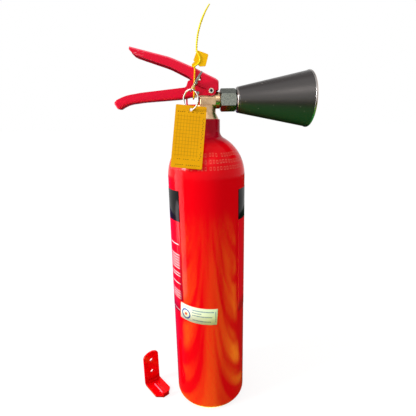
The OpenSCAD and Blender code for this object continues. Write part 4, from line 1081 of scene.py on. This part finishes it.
# What the enamel and the metals mirror of the ground: warm boards in front, dark green behind and a
# violet cloth behind to the left
boards_mesh = bmesh.new()
bmesh.ops.create_circle(boards_mesh, cap_ends=True, segments=64, radius=2.6,
                        matrix=Matrix.Translation(mm(0, 0, 0.2)))
boards, add = new_finish("warm_ground_card")
place = add("TexCoord"), "Object"
grain_at = add("Mapping", place, Scale=(11, 1.4, 1), Rotation=(0, 0, 0.25))
grain = add("TexNoise", grain_at, Scale=1, Detail=2, Roughness=0.6)
glow = add("MapRange", grain, From_Min=0.43, From_Max=0.57, To_Min=0.1, To_Max=11.5)
axes = add("SeparateXYZ", place)
in_front = add("MapRange", (axes, "Y"), From_Min=0.02, From_Max=-0.05)
# The boards fade out from 0.6 to 1.2 m; beyond them lies a dark floor
reach = add("VectorMath", place, operation="LENGTH")
near = add("MapRange", reach, From_Min=1.2, From_Max=0.6)
glow = add("Math", glow, near, 0.12, operation="MULTIPLY_ADD")
warm = add("Emission", Color="#dfc32a", Strength=glow)
behind = add("Emission", Color="#8fd69a", Strength=0.08)
at_left = add("MapRange", (axes, "X"), From_Min=-0.02, From_Max=-0.15)
violet = add("Emission", Color="#b468ff", Strength=0.3)
behind = add("MixShader", at_left, behind, violet)
ground = add("MixShader", in_front, behind, warm)
add("OutputMaterial", ground)
mirrored_card("mirrored_ground", boards_mesh, boards)

# A small dark shelf with a green strip under the horn, seen only from above, and a grey card overhead
shelf = bmesh.new()
bmesh.ops.create_grid(shelf, x_segments=1, y_segments=1, size=0.1,
                      matrix=Matrix.Translation(mm(95, -100, 398)) @ Matrix.Diagonal((1.0, 1.7, 1, 1)))
leaf, add = new_finish("dark_card_with_green_strip")
place = add("TexCoord"), "Object"
axes = add("SeparateXYZ", place)
strip = add("Math", (axes, "Y"), 0.055, operation="ADD")
strip = add("Math", strip, operation="ABSOLUTE")
strip = add("MapRange", strip, interpolation_type="SMOOTHSTEP", From_Min=0.085, From_Max=0.02, To_Min=0.01,
            To_Max=1.0)
green = add("Emission", Color="#2fc050", Strength=strip)
side = add("NewGeometry")
see_through = add("BsdfTransparent")
one_side = add("MixShader", (side, "Backfacing"), green, see_through)
add("OutputMaterial", one_side)
mirrored_card("mirrored_shelf", shelf, leaf)

overhead = bmesh.new()
bmesh.ops.create_grid(overhead, x_segments=1, y_segments=1, size=0.8,
                      matrix=Matrix.Translation((0, 0.75, 2.1)))
grey, add = new_finish("grey_overhead_card")
add("OutputMaterial", add("Emission", Color=(1, 1, 1, 1), Strength=0.35))
mirrored_card("mirrored_overhead", overhead, grey)

# The camera: a hand-held view, a little left of the middle and looking down by about 15 degrees
eye = bpy.data.cameras.new("camera")
eye.lens, eye.sensor_width = 27.744, 36
camera = bpy.data.objects.new("camera", eye)
camera.location = mm(-26.05, -451.85, 427.8)
camera.rotation_euler = (Matrix.Rotation(math.radians(-3.48), 3, "Z")
                         @ Matrix.Rotation(math.pi / 2 - 0.2584, 3, "X")
                         @ Matrix.Rotation(-0.02, 3, "Z")).to_euler()
bpy.context.scene.collection.objects.link(camera)
bpy.context.scene.camera = camera
bpy.context.scene.view_settings.view_transform = "Standard"
